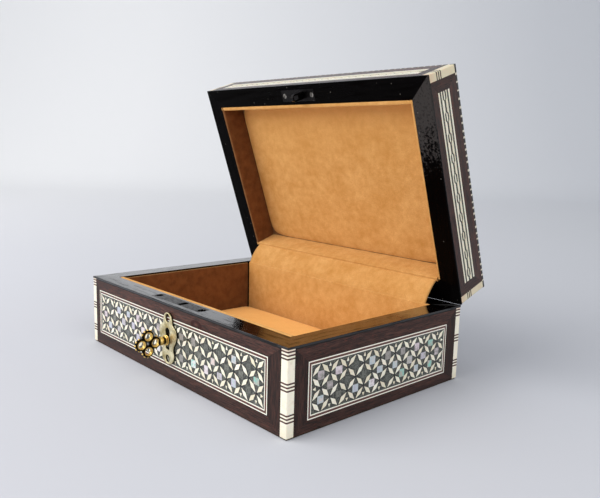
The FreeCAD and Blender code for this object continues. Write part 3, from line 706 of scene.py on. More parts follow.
RED_WOOD = both(small_wood, "red_brown_wood", paint(62, 29, 23), paint(108, 58, 47))
BAND_WOOD = (small_wood("dark_band_wood", 0.0, paint(46, 20, 16), paint(96, 50, 38)),
             small_wood("dark_band_wood_of_lid", open_turn, paint(30, 22, 18), paint(70, 50, 40)))
CARCASE = small_wood("carcase_wood", 0.0, paint(96, 66, 42), paint(146, 108, 72))
DASH_WHITES = paint(216, 208, 190), paint(160, 146, 122)
DASH_BLACKS = paint(20, 17, 16), paint(56, 46, 40)


def edging():
    """Dashes: a stored tint of 0 is ebony and 1 is bone, both streaked a little."""
    tree, shader, material = finish("edging_inlay", IOR=1.5, Coat_Weight=0.3, Coat_Roughness=0.2)
    streak = stroke_of(tree, here(tree, open_turn), 3 * MM, 0.3 * MM)
    white, black = (mixed(tree, times(tree, streak, 0.4), *pair) for pair in (DASH_WHITES, DASH_BLACKS))
    feed(tree, mixed(tree, stored(tree, "tint"), black, white), shader.inputs["Base Color"])
    feed(tree, between(tree, streak, 0.3, 0.45), shader.inputs["Roughness"])
    return material


EDGING = edging()
print("small inlay finishes:", [item.name for item in RED_WOOD + BAND_WOOD], EDGING.name)

# %% [markdown]
# ## Velvet and felt
# The lining is golden tan velvet. A hand that brushes it lays the pile one way or the other, and leaves
# lighter and darker clouds. Painted shade darkens the velvet in shaded places, and painted light lightens the
# pads. The pile itself is far finer than a pixel: a fine bump and the shader's sheen, which is what short
# upright hairs do to light, give it. The felt below the base is flat and matt.

# %% Velvet and felt
PILE_LAID, PILE_BRUSHED, PILE_ROOT = paint(200, 144, 76), paint(228, 176, 110), paint(156, 102, 50)
PILE_LIT, PILE_SHADES = paint(255, 192, 112), (paint(84, 46, 24), paint(104, 60, 32))
PILE_SHEEN = paint(255, 214, 150)


def velvet(name, turn):
    """Tan pile with clouds, hairs and a sheen; a stored value paints shade on it above zero and light below.
    """
    tree, shader, material = finish(name, IOR=1.4, Specular_IOR_Level=0.1, Sheen_Weight=0.35,
                                    Sheen_Roughness=0.45, Sheen_Tint=PILE_SHEEN)
    place = here(tree, turn)
    brushed = cloud(tree, place, 60.0, 0.32, 0.7)
    rubbed = cloud(tree, place, 240.0, 0.35, 0.65)
    hairs = cloud(tree, place, 2600.0, 0.3, 0.7)
    laid = plus(tree, times(tree, brushed, 0.6), times(tree, rubbed, 0.4))
    clouds = mixed(tree, laid, PILE_LAID, PILE_BRUSHED)
    piled = mixed(tree, times(tree, hairs, 0.4), clouds, PILE_ROOT)
    painted_shade_and_light = stored(tree, "painted_shade_and_light")
    # Below zero the stored value mixes in the lit colour, which is painted light; above zero it mixes in the
    # dark shades, which is painted shade.
    raised = mixed(tree, spread(tree, painted_shade_and_light, -1.0, 0.0, 1.0, 0.0), piled, PILE_LIT)
    shaded = mixed(tree, rubbed, *PILE_SHADES)
    feed(tree, mixed(tree, spread(tree, painted_shade_and_light, 0.0, 1.0), raised, shaded), shader.inputs["Base Color"])
    feed(tree, between(tree, hairs, 0.8, 1.0), shader.inputs["Roughness"])
    bumped(tree, shader, hairs, 0.5, 0.2 * MM)
    return material


VELVET = both(velvet, "tan_velvet")


def felt():
    """Pressed felt: dark brown, speckled by its fibres, fully matt."""
    tree, shader, material = finish("brown_felt", IOR=1.4, Specular_IOR_Level=0.1)
    fibre = cloud(tree, here(tree), 1400.0, 0.3, 0.7)
    feed(tree, mixed(tree, fibre, paint(40, 32, 26), paint(74, 60, 48)), shader.inputs["Base Color"])
    feed(tree, between(tree, fibre, 0.85, 1.0), shader.inputs["Roughness"])
    bumped(tree, shader, fibre, 0.6, 0.2 * MM)
    return material


FELT = felt()
print("soft finishes:", [item.name for item in VELVET], FELT.name)

# %% [markdown]
# ## Metals
# The key and the keyhole plate are cast brass: bright where fingers rub, nearly black in the hollows of the
# key, and grainy from the sand. The hinges are plain drawn brass, and the lock and screws are steel. One
# recipe with other colours makes all of them. A mesh may store a darkening: patina in the key and in the
# screw slots, and painted shade on the back edges and sides of the keyhole plate.

# %% Brass and steel


def metal(name, bright, dull, deep, grain_size, shine, bare=1.0):
    """Bare or rusted metal, bright and dull in clouds, dark in pits, in stored patina and in painted shade.
    """
    tree, shader, material = finish(name, Metallic=bare, Specular_IOR_Level=0.5 * bare)
    place = here(tree)
    cloudy = cloud(tree, place, 260.0, 0.35, 0.7)
    grainy = cloud(tree, place, grain_size, 0.35, 0.65)
    pitted = use(tree, pits, "Pit", Vector=place, Scale=grain_size * 0.6, Size=0.12)
    face = mixed(tree, cloudy, bright, dull)
    patina_and_shade = stored(tree, "patina_and_shade")
    in_pits = times(tree, pitted, 0.5)
    filled = plus(tree, patina_and_shade, times(tree, cloudy, 0.25))
    # Pits and stored patina go dark, and so does the painted shade that the keyhole plate stores.
    darkening = sum_of(tree, "MAXIMUM", in_pits, spread(tree, filled, 0.35, 0.8))
    feed(tree, mixed(tree, darkening, face, deep), shader.inputs["Base Color"])
    feed(tree, spread(tree, plus(tree, grainy, darkening), 0.0, 1.6, shine, shine + 0.3),
         shader.inputs["Roughness"])
    bumped(tree, shader, grainy, 0.25, 0.06 * MM)
    return material


PLATE_BRASS = metal("plate_brass", paint(248, 240, 204), paint(176, 160, 106), paint(44, 36, 22),
                    grain_size=1000.0, shine=0.34)
KEY_BRASS = metal("key_brass", paint(240, 206, 124), paint(204, 164, 82), paint(26, 20, 13),
                  grain_size=1100.0, shine=0.22)
HINGE_BRASS = metal("hinge_brass", paint(216, 182, 110), paint(182, 146, 82), paint(60, 46, 24),
                    grain_size=1200.0, shine=0.3)
LOCK_STEEL = metal("lock_steel", paint(150, 148, 144), paint(112, 110, 106), paint(40, 36, 34),
                   grain_size=1000.0, shine=0.32)
SCREW_STEEL = metal("screw_steel", paint(170, 166, 158), paint(124, 120, 114), paint(44, 40, 36),
                    grain_size=1400.0, shine=0.3)
RIM_STEEL = metal("blackened_steel", paint(34, 32, 32), paint(22, 20, 20), paint(8, 7, 7),
                  grain_size=900.0, shine=0.26)
RUST = metal("black_rust", paint(16, 14, 13), paint(9, 8, 8), paint(4, 4, 4),
             grain_size=900.0, shine=0.6, bare=0.0)
METALS = (PLATE_BRASS, KEY_BRASS, HINGE_BRASS, LOCK_STEEL, SCREW_STEEL, RIM_STEEL, RUST)
print("metals:", [item.name for item in METALS])

# %% [markdown]
# ## Walnut strips round each panel
# Each face has four strips of veneer that meet in mitres round the inlaid panel, with the grain along every
# strip. They could be drawn one by one, but a strip is only what lies between two rectangles, so numpy cuts
# all four at once. Each strip keeps its own direction of grain and its own tone: the top strips are lightest.

# %% Flat pieces let into a face
EASE = 0.05 * MM
RINGS, CORNERS = 3, 4
POINTS_EACH = RINGS * CORNERS
STRIP_TONES = np.array([0.4, 0.05, 0.75, 0.25])
TONE_SPREAD = 0.12
GRAIN_START = 0.5


def inset(outlines, by):
    """Shrink outlines: a corner moves by its two edges' inward normals m + n over 1 + m n."""
    ahead = np.roll(outlines, -1, axis=1) - outlines
    ahead = ahead / np.linalg.norm(ahead, axis=2, keepdims=True)
    inward = np.stack([-ahead[..., 1], ahead[..., 0]], -1)
    before = np.roll(inward, 1, axis=1)
    return outlines + by * (inward + before) / (1 + (inward * before).sum(-1, keepdims=True))


def closed_tube(rings):
    """Faces of a four-sided tube of rings, closed at both ends by its first and its last ring."""
    ends = np.arange(CORNERS) + np.array([[0], [CORNERS * (rings - 1)]])
    return np.concatenate([grid_faces(rings, CORNERS, round_columns=True), ends])


def let_in(outlines, top, bottom):
    """Four-sided pieces under their outlines, in three rings: eased on top, full below and at the bottom."""
    outlines = np.asarray(outlines, float)
    rings = np.stack([inset(outlines, EASE), outlines, outlines], 1)
    depth = np.broadcast_to(np.array([top, top + EASE, bottom])[None, :, None], rings.shape[:3])
    return rings.reshape(-1, 2), depth.reshape(-1), repeated(closed_tube(RINGS), len(outlines), POINTS_EACH)


def ring_of(rectangle):
    """Corners of a rectangle (left, right, low, high), counter-clockwise."""
    left, right, low, high = rectangle
    return np.array([(left, low), (right, low), (right, high), (left, high)])


def strips_between(outer, inner):
    """Four mitred strips between two rectangles: bottom, right, top and left."""
    wide, narrow = ring_of(outer), ring_of(inner)
    return np.stack([wide, np.roll(wide, -1, 0), np.roll(narrow, -1, 0), narrow], 1)


def joined(rectangles):
    """Smallest rectangle round several."""
    rows = np.array(rectangles)
    return np.array([rows[:, 0].min(), rows[:, 1].max(), rows[:, 2].min(), rows[:, 3].max()])


def walnut_frame(face, node, inner, lid):
    """Four walnut strips on a face, each with its grain, its tone and its distance to the rim."""
    outer = rectangle_on(face, node, lid)
    flat, depth, faces = let_in(strips_between(outer, inner), 0.0, skin)
    strip = np.repeat(np.arange(CORNERS), POINTS_EACH)
    upright = (strip % 2 == 1)[:, None]
    along = np.where(upright, flat[:, ::-1], flat)
    start = chance.uniform(-GRAIN_START, GRAIN_START, (CORNERS, 2))[strip]
    mesh = new_mesh("walnut_" + node, on_face(face, flat, depth, lid), faces)
    attribute(mesh, "grain", np.column_stack([along + start, depth]))
    attribute(mesh, "tint", (STRIP_TONES + chance.uniform(-TONE_SPREAD, TONE_SPREAD, CORNERS))[strip])
    far = np.full(len(flat), 1.0)
    if face != "top":
        far = flat[:, 1] - outer[2] if lid else outer[3] - flat[:, 1]
    attribute(mesh, "rim", far)
    tidy_shell(mesh)
    add_piece("walnut_" + node, mesh, WALNUT[lid], BODY[lid], [node])


for side in SIDES:
    walnut_frame(side, "veneer_" + side, rectangle_on(side, "bone_stringing", BASE), BASE)
    chain = joined([rectangle_on(side, name, LID) for name in ("chain_ground", "chain_bone")])
    walnut_frame(side, "lid_veneer_" + side, chain, LID)
walnut_frame("top", "lid_top_veneer", rectangle_on("top", "lid_bone_stringing", LID), LID)
front_panel = rectangle_on("front", "bone_stringing", BASE)
print("walnut strips on nine faces; front panel is", np.round(front_panel / MM, 1))

# %% [markdown]
# ## Red-brown lines
# A line of red-brown wood runs between two lines of bone round each panel. It is glued in wet, so it swells:
# it stands a few hundredths of a millimetre above the bone and laps over its edges. Each face gets four
# mitred strips.

# %% Lines of red-brown wood
SWELL = 0.12 * MM
PROUD = 0.04 * MM


def widened(rectangle, by):
    """Rectangle (left, right, low, high) with every side moved out."""
    return rectangle + by * np.array([-1, 1, -1, 1])


shapes = []
for side in SIDES:
    middle_line = rectangle_on(side, "wood_stringing", BASE)
    bone_width = rectangle_on(side, "bone_stringing", BASE)[1] - middle_line[1]
    inner_line = widened(rectangle_on(side, "mosaic_ground", BASE), bone_width)
    strips = strips_between(widened(middle_line, SWELL), widened(inner_line, -SWELL))
    flat, depth, faces = let_in(strips, -PROUD, skin)
    shapes.append((on_face(side, flat, depth, BASE), faces))
mesh = new_mesh("wood_lines", *merged(shapes))
tidy_shell(mesh)
add_piece("wood_lines", mesh, RED_WOOD[BASE], "base", ["wood_stringing"])
print("red-brown lines:", round((middle_line[1] - inner_line[1]) / MM, 2), "mm wide between bone lines of",
      round(bone_width / MM, 2), "mm")

# %% [markdown]
# ## Mastic grounds
# The mosaic is pressed into mastic, which is then scraped down until it is nearly flush with the tiles. One
# plate for each panel lies a tenth of a millimetre below the tiles, and a little deeper under the chain. The
# front plate leaves a hole behind the keyhole, because a key goes through it.

# %% Plates of mastic
SCRAPED = 0.1 * MM
SCRAPED_CHAIN = 0.16 * MM
KEYHOLE = np.array([-2.6, 2.6, -5.3, 5.9]) * MM
key_low, key_high = (np.array(corner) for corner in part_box("key"))
key_x = (key_low[0] + key_high[0]) / 2
hub_low, hub_high = (np.array(corner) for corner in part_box("lock_hub"))
key_z = (hub_low[2] + hub_high[2]) / 2


def mastic_plates(name, node, plates, lid, top=SCRAPED):
    """Plates of mastic for lists of outlines by face, together one piece."""
    shapes = []
    for face, outlines in plates.items():
        flat, depth, faces = let_in(outlines, top, skin)
        shapes.append((on_face(face, flat, depth, lid), faces))
    mesh = new_mesh(name, *merged(shapes))
    tidy_shell(mesh)
    add_piece(name, mesh, MASTIC[lid], BODY[lid], [node])


panels = {side: [ring_of(rectangle_on(side, "mosaic_ground", BASE))] for side in ("right", "back", "left")}
hole = KEYHOLE + (key_x, key_x, key_z, key_z)
panels["front"] = strips_between(rectangle_on("front", "mosaic_ground", BASE), hole)
lid_panel = {"top": [ring_of(rectangle_on("top", "lid_mosaic_ground", LID))]}
strip_areas = {side: rectangle_on(side, "chain_ground", LID) for side in SIDES}
strip_rings = {side: [ring_of(area)] for side, area in strip_areas.items()}
mastic_plates("mosaic_mastic", "mosaic_ground", panels, BASE)
mastic_plates("lid_mosaic_mastic", "lid_mosaic_ground", lid_panel, LID)
mastic_plates("chain_mastic", "chain_ground", strip_rings, LID, SCRAPED_CHAIN)
print("mastic plates; keyhole at", np.round(np.array([key_x, key_z]) / MM, 2), "mm")

# %% [markdown]
# ## Hand-cut tiles
# Over four hundred rhombic petals, triangular drops and slivers of shell make the mosaic. A drawn pattern is
# too perfect: real tiles are cut by eye and pressed in by hand. Each solid of the CAD node is nudged, turned
# and resized a little in its own plane, which the smallest spread of its corners gives, and takes its own
# tint. Black filler stands round the white tiles, so each has a larger black copy just below it.

# %% Nudge and tint every tile


def own_planes(node):
    """Middle and own axes of a node's solids, smallest spread first, and their points in those axes."""
    points, faces, solid = welded(node)
    share = np.bincount(solid)[:, None]
    middle = np.stack([np.bincount(solid, points[:, axis]) for axis in range(3)], 1) / share
    away = points - middle[solid]
    spreads = np.zeros((len(middle), 3, 3))
    np.add.at(spreads, solid, away[:, :, None] * away[:, None, :])
    axes = np.linalg.eigh(spreads)[1]
    return middle, axes, np.einsum("pi,pij->pj", away, axes[solid]), faces, solid


WHITE, PEARL, BLACK = (BONE, "bone"), (SHELL, "mother_of_pearl"), (BLACK_LINE, "dark_mastic")
SLIP = math.radians(1.8)
LINE_GROWTH = 1.3
LINE_SUNK = 0.75
BONE_LEAST = 0.35


def hand_set(node, name, look, lid, size, shift, bright=1.0, lined=False):
    """Copy of a node, its solids turned, resized and shifted in their planes; lines are larger copies."""
    middle, axes, local, faces, solid = own_planes(node)
    count = len(middle)
    tint = chance.uniform(0, 1, count)
    angle = chance.uniform(-SLIP, SLIP, count)[solid]
    stretch = chance.uniform(1 - size, 1 + size, (count, 2))
    stretch = stretch * np.where(tint > SHELL_DARK, bright, 1.0)[:, None]
    slid = chance.uniform(-shift, shift, (count, 2))
    layers = [(name, look, 1.0, 1.0, [node])]
    if lined:
        layers.append((name + "_lines", BLACK, LINE_GROWTH, LINE_SUNK, ()))
    for label, (finishes, slot), growth, sunk, stands_for in layers:
        flat = local[:, 1:] * (stretch * growth)[solid]
        flat = np.column_stack(turned(flat[:, 0], flat[:, 1], angle)) + slid[solid]
        moved = np.column_stack([local[:, 0] * sunk, flat])
        mesh = new_mesh(label, middle[solid] + np.einsum("pj,pij->pi", moved, axes[solid]), faces)
        least = 0.0 if slot == "mother_of_pearl" else BONE_LEAST
        attribute(mesh, "tint", (least + (1 - least) * tint)[solid])
        attribute(mesh, "stain", np.zeros(len(local)))
        add_piece(label, mesh, finishes[lid], BODY[lid], stands_for)
    print(name, count, "tiles")


hand_set("bone_petals", "petals", WHITE, BASE, size=0.05, shift=0.06 * MM, lined=True)
hand_set("bone_drops", "drops", WHITE, BASE, size=0.12, shift=0.06 * MM, lined=True)
hand_set("pearl_tiles", "shell_slivers", PEARL, BASE, size=0.14, shift=0.08 * MM, bright=1.12)
hand_set("lid_petals", "lid_top_petals", WHITE, LID, size=0.05, shift=0.1 * MM, lined=True)
hand_set("lid_drops", "lid_top_drops", WHITE, LID, size=0.12, shift=0.06 * MM, lined=True)
hand_set("lid_pearls", "lid_top_slivers", PEARL, LID, size=0.14, shift=0.08 * MM, bright=1.12)

# %% [markdown]
# ## Chain on the sides of the lid
# The strip on each side of the lid holds two white strands between two white lines. At every link the
# strands thin to less than half their width and leave room for a white lens with a dark line round it. A
# strand is a ribbon along a straight path, and its inner edge moves by a smooth step, so one formula gives
# every link on all four sides.

# %% Strands that open for a lens
strand_far = 1.93 * MM
strand_near = 0.64 * MM
link_near = 1.38 * MM
outer_line = 0.85 * MM
link_length = 4.0 * MM
link_turn = 1.1 * MM
link_pitch = 9.35 * MM
lens_width = 0.66 * MM
lens_blunt = 0.12
STRAND_TOP = 0.0
STRAND_DEPTH = 0.3 * MM
STRAND_TINTS = (0.4, 1.0)
LINK_STEPS, LENS_STEPS = 24, 13


def ribbons(paths, width):
    """Bands along flat paths: a path point moves half the width to both sides of its direction, and down."""
    ahead = np.gradient(paths, axis=1)
    ahead = ahead / np.linalg.norm(ahead, axis=2, keepdims=True)
    side = np.stack([-ahead[..., 1], ahead[..., 0]], -1) * np.asarray(width)[..., None] / 2
    bands = np.stack([paths - side, paths - side, paths + side, paths + side], 2)
    depth = np.array([STRAND_DEPTH, STRAND_TOP, STRAND_TOP, STRAND_DEPTH])
    return bands, np.broadcast_to(depth, bands.shape[:3])


def strip_ribbons(area):
    """Bone bands of one strip: a strand's inner edge moves out by a smooth step at each end of a link."""
    left, right, low, high = area
    middle = (low + high) / 2
    count = int((right - left - link_length) / link_pitch) + 1
    centres = left + link_length / 2 + np.arange(count) * link_pitch
    along = np.linspace(left, right, LINK_STEPS * count + 1)
    away = np.abs((along - centres[0] + link_pitch / 2) % link_pitch - link_pitch / 2)
    share = np.clip(((link_length - 2 * away) / link_turn + 1) / 2, 0, 1)
    inner = strand_near + (link_near - strand_near) * share * share * (3 - 2 * share)
    offset = (strand_far + inner) / 2
    strands = np.stack([np.stack([along, middle + side * offset], -1) for side in (1, -1)])
    reach = np.linspace(-1, 1, LENS_STEPS)
    lens = np.stack([reach * link_length / 2, 0 * reach], -1)
    lenses = lens + np.stack([centres, np.full(count, middle)], -1)[:, None]
    round_width = lens_width * (lens_blunt + (1 - lens_blunt) * np.sqrt(1 - reach ** 4))
    lines = [[(left, s), (right, s)] for s in (low + outer_line / 2, high - outer_line / 2)]
    return [ribbons(strands, strand_far - inner), ribbons(lenses, round_width),
            ribbons(np.array(lines), outer_line)]


def band_mesh(name):
    """One mesh of the bone bands on the four sides of the lid, each band closed at its ends."""
    shapes, tints = [], []
    for face, area in strip_areas.items():
        for bands, depth in strip_ribbons(area):
            count, steps = bands.shape[:2]
            points = on_face(face, bands.reshape(-1, 2), depth.reshape(-1), LID)
            shapes.append((points, repeated(closed_tube(steps), count, CORNERS * steps)))
            tints.append(np.repeat(chance.uniform(*STRAND_TINTS, count), CORNERS * steps))
    mesh = new_mesh(name, *merged(shapes))
    attribute(mesh, "tint", np.concatenate(tints))
    attribute(mesh, "stain", np.zeros(len(mesh.vertices)))
    tidy_shell(mesh)
    return mesh


chain_strands = band_mesh("chain_strands")
add_piece("chain_strands", chain_strands, BONE[LID], "lid", ["chain_bone"])
print("strands:", len(chain_strands.polygons), "faces")

# %% [markdown]
# ## Dashed edging of the lid
# A row of dark pieces with short white ones between runs round the top edge of the lid. Each is a small block
# that shows on the side and on the top, so a run of blocks with every second one white is the whole edging.

# %% Black and white dashes
dark_dash = 2.4 * MM
white_dash = 0.9 * MM
DASH_SPREAD = 0.25
edging_low = lid_points[:, 2].min()
edging_wide = lid_top - edging_low


def dashes():
    """Blocks along the four top edges, seen from above: uneven, long and dark or short and white."""
    outlines, tints = [], []
    spans = {"x": (half_width, half_depth), "y": (half_depth - edging_wide, half_width)}
    for axis, (reach, edge_at) in spans.items():
        count = int(round(2 * reach / (dark_dash + white_dash))) * 2 + 1
        length = np.where(np.arange(count) % 2, white_dash, dark_dash)
        length = length * chance.uniform(1 - DASH_SPREAD, 1 + DASH_SPREAD, count)
        ends = np.concatenate([[0], np.cumsum(length)]) / length.sum() * 2 * reach - reach
        for sign in (-1, 1):
            near, far = sorted((sign * edge_at, sign * (edge_at - edging_wide)))
            blocks = np.stack([np.stack([ends[:-1], ends[1:], ends[1:], ends[:-1]], 1),
                               np.broadcast_to([near, near, far, far], (count, 4))], -1)
            outlines.append(blocks if axis == "x" else blocks[:, ::-1, ::-1])
            tints.append(np.arange(count) % 2)
    return np.concatenate(outlines), np.concatenate(tints)


outlines, tints = dashes()
flat, depth, faces = let_in(outlines, 0.0, edging_wide)
dash_mesh = new_mesh("lid_dashes", on_face("top", flat, depth, LID), faces)
attribute(dash_mesh, "tint", np.repeat(tints, POINTS_EACH))
tidy_shell(dash_mesh, merge=FINE_MERGE)
add_piece("lid_dashes", dash_mesh, EDGING, "lid", ["lid_edging"])
print("edging:", len(outlines), "dashes")

# %% [markdown]
# ## Bone corners and lacquered walls
# Corner posts and walls keep their CAD shape, but no hand-finished edge is sharp. A copy is welded, its
# flat triangles are melted together, and a Bevel works only on the edges with a weight: the upright outer
# edge of each post, and the long outer edge of each rim. Mitres get no weight, so they stay closed.

# %% Copies with eased edges
POST_EASE = 0.5 * MM
# The lid posts take a darker tint, which is painted shade.
POST_TINT, LID_POST_SHADED_TINT, FOOT_FADE = 0.85, 0.05, 0.6
FOOT_HEIGHT = 2 * MM
RIM_STAIN = 0.5
ONE_PLANE = math.radians(0.5)
EASE_SEGMENTS = 3
TOUCH = 0.01 * MM


def eased_copy(node, name, finish_used, body, chosen, width, store=None, reshape=None):
    """Welded copy of a node with a bevel on the edges that the chosen test picks from their two ends."""
    points, faces = welded(node)[:2]
    mesh = new_mesh(name, reshape(points) if reshape else points, faces)
    tidy_shell(mesh, flat=ONE_PLANE)
    place = mesh_points(mesh)
    ends = np.empty(len(mesh.edges) * 2, np.int32)
    mesh.edges.foreach_get("vertices", ends)
    ends = place[ends.reshape(-1, 2)]
    weight = chosen(ends[:, 0], ends[:, 1]).astype(np.float32)
    mesh.attributes.new("bevel_weight_edge", "FLOAT", "EDGE").data.foreach_set("value", weight)
    for label, values in (store(place) if store else {}).items():
        attribute(mesh, label, values)
    piece = add_piece(name, mesh, finish_used, body, [node], smooth_angle=30)
    bevel = piece.modifiers.new("eased_edges", "BEVEL")
    bevel.limit_method = "WEIGHT"
    bevel.width = width
    bevel.segments = EASE_SEGMENTS
    bevel.harden_normals = False
    print(name, int(weight.sum()), "edges eased")


def close_to(values, target):
    """True where values lie within a hundredth of a millimetre of a target."""
    return np.abs(values - target) < TOUCH


def outer_corner(first, second, lid):
    """True for edges that lie along the upright corner line of the box."""
    corner = [close_to(np.abs(end[:, 0]), half_width) & close_to(np.abs(end[:, 1]), half_depth)
              for end in (as_shut(first, lid), as_shut(second, lid))]
    return corner[0] & corner[1]


def corner_stain(points, lid, span):
    """Tint of a post, yellower at its foot, darker on the lid as painted shade, and a stain that soaks in
    from the rim.
    """
    upright = as_shut(points, lid)[:, 2]
    near_rim = np.clip((upright - span[0]) / (span[1] - span[0]), 0, 1)
    foot = np.clip(1 - upright / FOOT_HEIGHT, 0, 1)
    tint = np.full(len(points), LID_POST_SHADED_TINT) if lid else POST_TINT - FOOT_FADE * foot
    return {"tint": tint, "stain": RIM_STAIN * near_rim ** 3}


STAIN_SPANS = ((base_rim - 5 * MM, base_rim), (lid_rim + 4 * MM, lid_rim))
for lid in (BASE, LID):
    lead = "lid_" if lid else ""
    corner = partial(outer_corner, lid=lid)
    eased_copy(lead + "corner_bone", lead + "bone_posts", BONE[lid], BODY[lid], corner, POST_EASE,
               partial(corner_stain, lid=lid, span=STAIN_SPANS[lid]))
    eased_copy(lead + "corner_bands", lead + "post_bands", BAND_WOOD[lid], BODY[lid],
               corner, POST_EASE)

# %% Walls with eased rims
RIM_EASE = 0.1 * MM
RIDGE = 0.2 * MM


def rim_edge(first, second, face, lid):
    """True for the long outer edge of a wall's rim; the hinge line at the back stays sharp."""
    middle, out = FACES[face][0], FACES[face][3]
    ends = (as_shut(first, lid), as_shut(second, lid))
    rim = lid_rim if lid else base_rim
    level = close_to(ends[0][:, 2], rim) & close_to(ends[1][:, 2], rim)
    outer = [close_to((end - middle) @ out, 0.0) for end in ends]
    return level & outer[0] & outer[1] & (face != "back")


def wall_grain(points, face, lid):
    """Brush direction of a wall, along it, up it and into it, and the wear at the front right of the lid."""
    middle, along, up, out = FACES[face]
    place = as_shut(points, lid)
    away = place - middle
    worn_corner = (place[:, 0] > 0) & (place[:, 1] < 0) & (face == "right") & lid
    return {"grain": np.stack([away @ along, away @ up, away @ out], -1), "worn": worn_corner.astype(float)}


def lacquer_ridge(points):
    """Back wall whose rim rises a little to the hinge line, where lacquer has gathered."""
    at_hinge = close_to(points[:, 1], half_depth) & close_to(points[:, 2], base_rim)
    return points + np.where(at_hinge, RIDGE, 0.0)[:, None] * Z


for lid in (BASE, LID):
    for side in SIDES:
        node = ("lid_wall_" if lid else "wall_") + side
        eased_copy(node, "lacquered_" + node, LACQUER[lid], BODY[lid],
                   partial(rim_edge, face=side, lid=lid), RIM_EASE, partial(wall_grain, face=side, lid=lid),
                   lacquer_ridge if node == "wall_back" else None)

# %% [markdown]
# ## Velvet-covered boards
# The inner walls are thin boards wrapped in velvet, so their edges are round and soft. A board is a rounded
# section carried along its length. Near each end the section shrinks to nothing, which closes the ends, and
# slow waves let the cloth swell a little. The left boards face away from the light, so painted shade darkens
# their velvet, and a little painted shade darkens the back ones. The front board of the base stands just
# above the rim, the left and right ones end below it, and the back one stops short of the left. Velvet this
# thin is glued down, so no cloth simulation is run.

# %% Covered boards
ROUND, ROUND_STEPS = 0.5 * MM, 5
BOARD_STATIONS = 41
END_SHRINK = 0.55
CLOTH_SWELL, CLOTH_WAVE = 0.08 * MM, 24 * MM
WAVE_SCALES = (1.0, 0.62, 0.41)


def rounded_loop(half_a, half_b, radius, steps):
    """Loop round a rectangle with round corners: corner centres plus a quarter circle each."""
    quarter = np.linspace(0, math.pi / 2, steps)
    angle = (np.arange(4)[:, None] * math.pi / 2 + quarter).ravel()
    sign = np.array([(1, 1), (-1, 1), (-1, -1), (1, -1)]).repeat(steps, 0)
    return sign * (half_a - radius, half_b - radius) + radius * np.stack([np.cos(angle), np.sin(angle)], -1)


def waves(first, second, size, length):
    """Slow unevenness: three crossing sines of a length, with phases drawn once for each piece."""
    phase = chance.uniform(0, 2 * math.pi, len(WAVE_SCALES))
    turn = chance.uniform(0, math.pi, len(WAVE_SCALES))
    total = sum(np.sin(2 * math.pi * (first * math.cos(t) + second * math.sin(t)) / (length * scale) + p)
                for t, p, scale in zip(turn, phase, WAVE_SCALES))
    return size * total / len(WAVE_SCALES)


def covered_board(low, high):
    """Velvet board in a box: its longest side is the path, and a rounded section is carried along it."""
    low, high = np.asarray(low), np.asarray(high)
    middle, half = (low + high) / 2, (high - low) / 2
    path = int(np.argmax(half))
    upright = 2
    thick = 3 - path - upright
    loop = rounded_loop(half[thick], half[upright], ROUND, ROUND_STEPS)
    along = np.concatenate([[-1, -1], np.linspace(-1, 1, BOARD_STATIONS), [1, 1]])[:, None] * half[path]
    shrink = np.ones((len(along), 1))
    shrink[[0, -1]], shrink[[1, -2]] = 0, END_SHRINK
    swell = waves(along, loop[None, :, 1], CLOTH_SWELL, CLOTH_WAVE) * shrink
    grid = np.zeros((len(along), len(loop), 3))
    grid[..., path] = along
    grid[..., thick] = shrink * loop[:, 0] + swell * np.sign(loop[:, 0])
    grid[..., upright] = shrink * loop[:, 1]
    return (grid + middle).reshape(-1, 3), grid_faces(*grid.shape[:2], round_columns=True)


BOARD_GAP = 1.3 * MM
BOARD_RISE = {"front": 0.2 * MM, "back": 0.0, "left": -0.8 * MM, "right": -1.0 * MM}
# Painted shade in each board's velvet, by side: strongest on the left, a little at the back.
BOARD_PAINTED_SHADE = {"front": 0.0, "back": 0.12, "left": 0.95, "right": 0.0}
RIGHT_SHARE = 0.6
SEAM = 1.6 * MM
for side, rise in BOARD_RISE.items():
    board_low, board_high = (np.array(corner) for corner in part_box("lining_" + side))
    if side in ("front", "back"):
        board_low[0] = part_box("lining_left")[1][0] + (BOARD_GAP if side == "back" else 0)
    board_high[2] += rise
    points, faces = covered_board(board_low, board_high)
    mesh = new_mesh("velvet_" + side, points, faces)
    attribute(mesh, "painted_shade_and_light", np.full(len(points), BOARD_PAINTED_SHADE[side]))
    tidy_shell(mesh, merge=SOFT_MERGE)
    add_piece("velvet_" + side, mesh, VELVET[BASE], "base", ["lining_" + side], smooth_angle=60)

lid_boards = node_points("lid_linings", LID)
(left, front, low), (right, rear, high) = lid_boards.min(0), lid_boards.max(0)
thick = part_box("lining_front")[1][1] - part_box("lining_front")[0][1]
boards = [covered_board((left, front, low), (right, front + thick, high)),
          covered_board((left, rear - thick, low), (right - thick, rear, high)),
          covered_board((left, front, low), (left + thick, rear - SEAM, high)),
          covered_board((right - RIGHT_SHARE * thick, front, low), (right, rear - SEAM, high))]
points, faces = merged(boards)
mesh = new_mesh("lid_velvet_boards", swung_open(points), faces)
attribute(mesh, "painted_shade_and_light", np.repeat(list(BOARD_PAINTED_SHADE.values()), len(points) // len(boards)))
tidy_shell(mesh, merge=SOFT_MERGE)
add_piece("lid_velvet_boards", mesh, VELVET[LID], "lid", ["lid_linings"], smooth_angle=60)
print("covered boards: 4 in the base and", len(boards), "in the lid")

# %% [markdown]
# ## The two padded panels
# A thin pad under velvet covers the floor, and another fills the inside of the lid. Each is crowned: highest
# in the middle, with round edges and sides that pull in between the corners. On a polar grid the rows run
# from the middle of the crown out over the round edge and back under, so the pad closes at two poles.

# %% Crowned pads
PAD_PRESS = 0.25 * MM
PAD_PAINTED_LIGHT = -0.6
PAD_COLUMNS, CROWN_ROWS, EDGE_ROWS, UNDER_ROWS = 160, 26, 9, 5
OUTLINE_POWER, CROWN_POWER = 14, 16
PAD_DRAW = 0.004
PAD_WAVE = 45 * MM


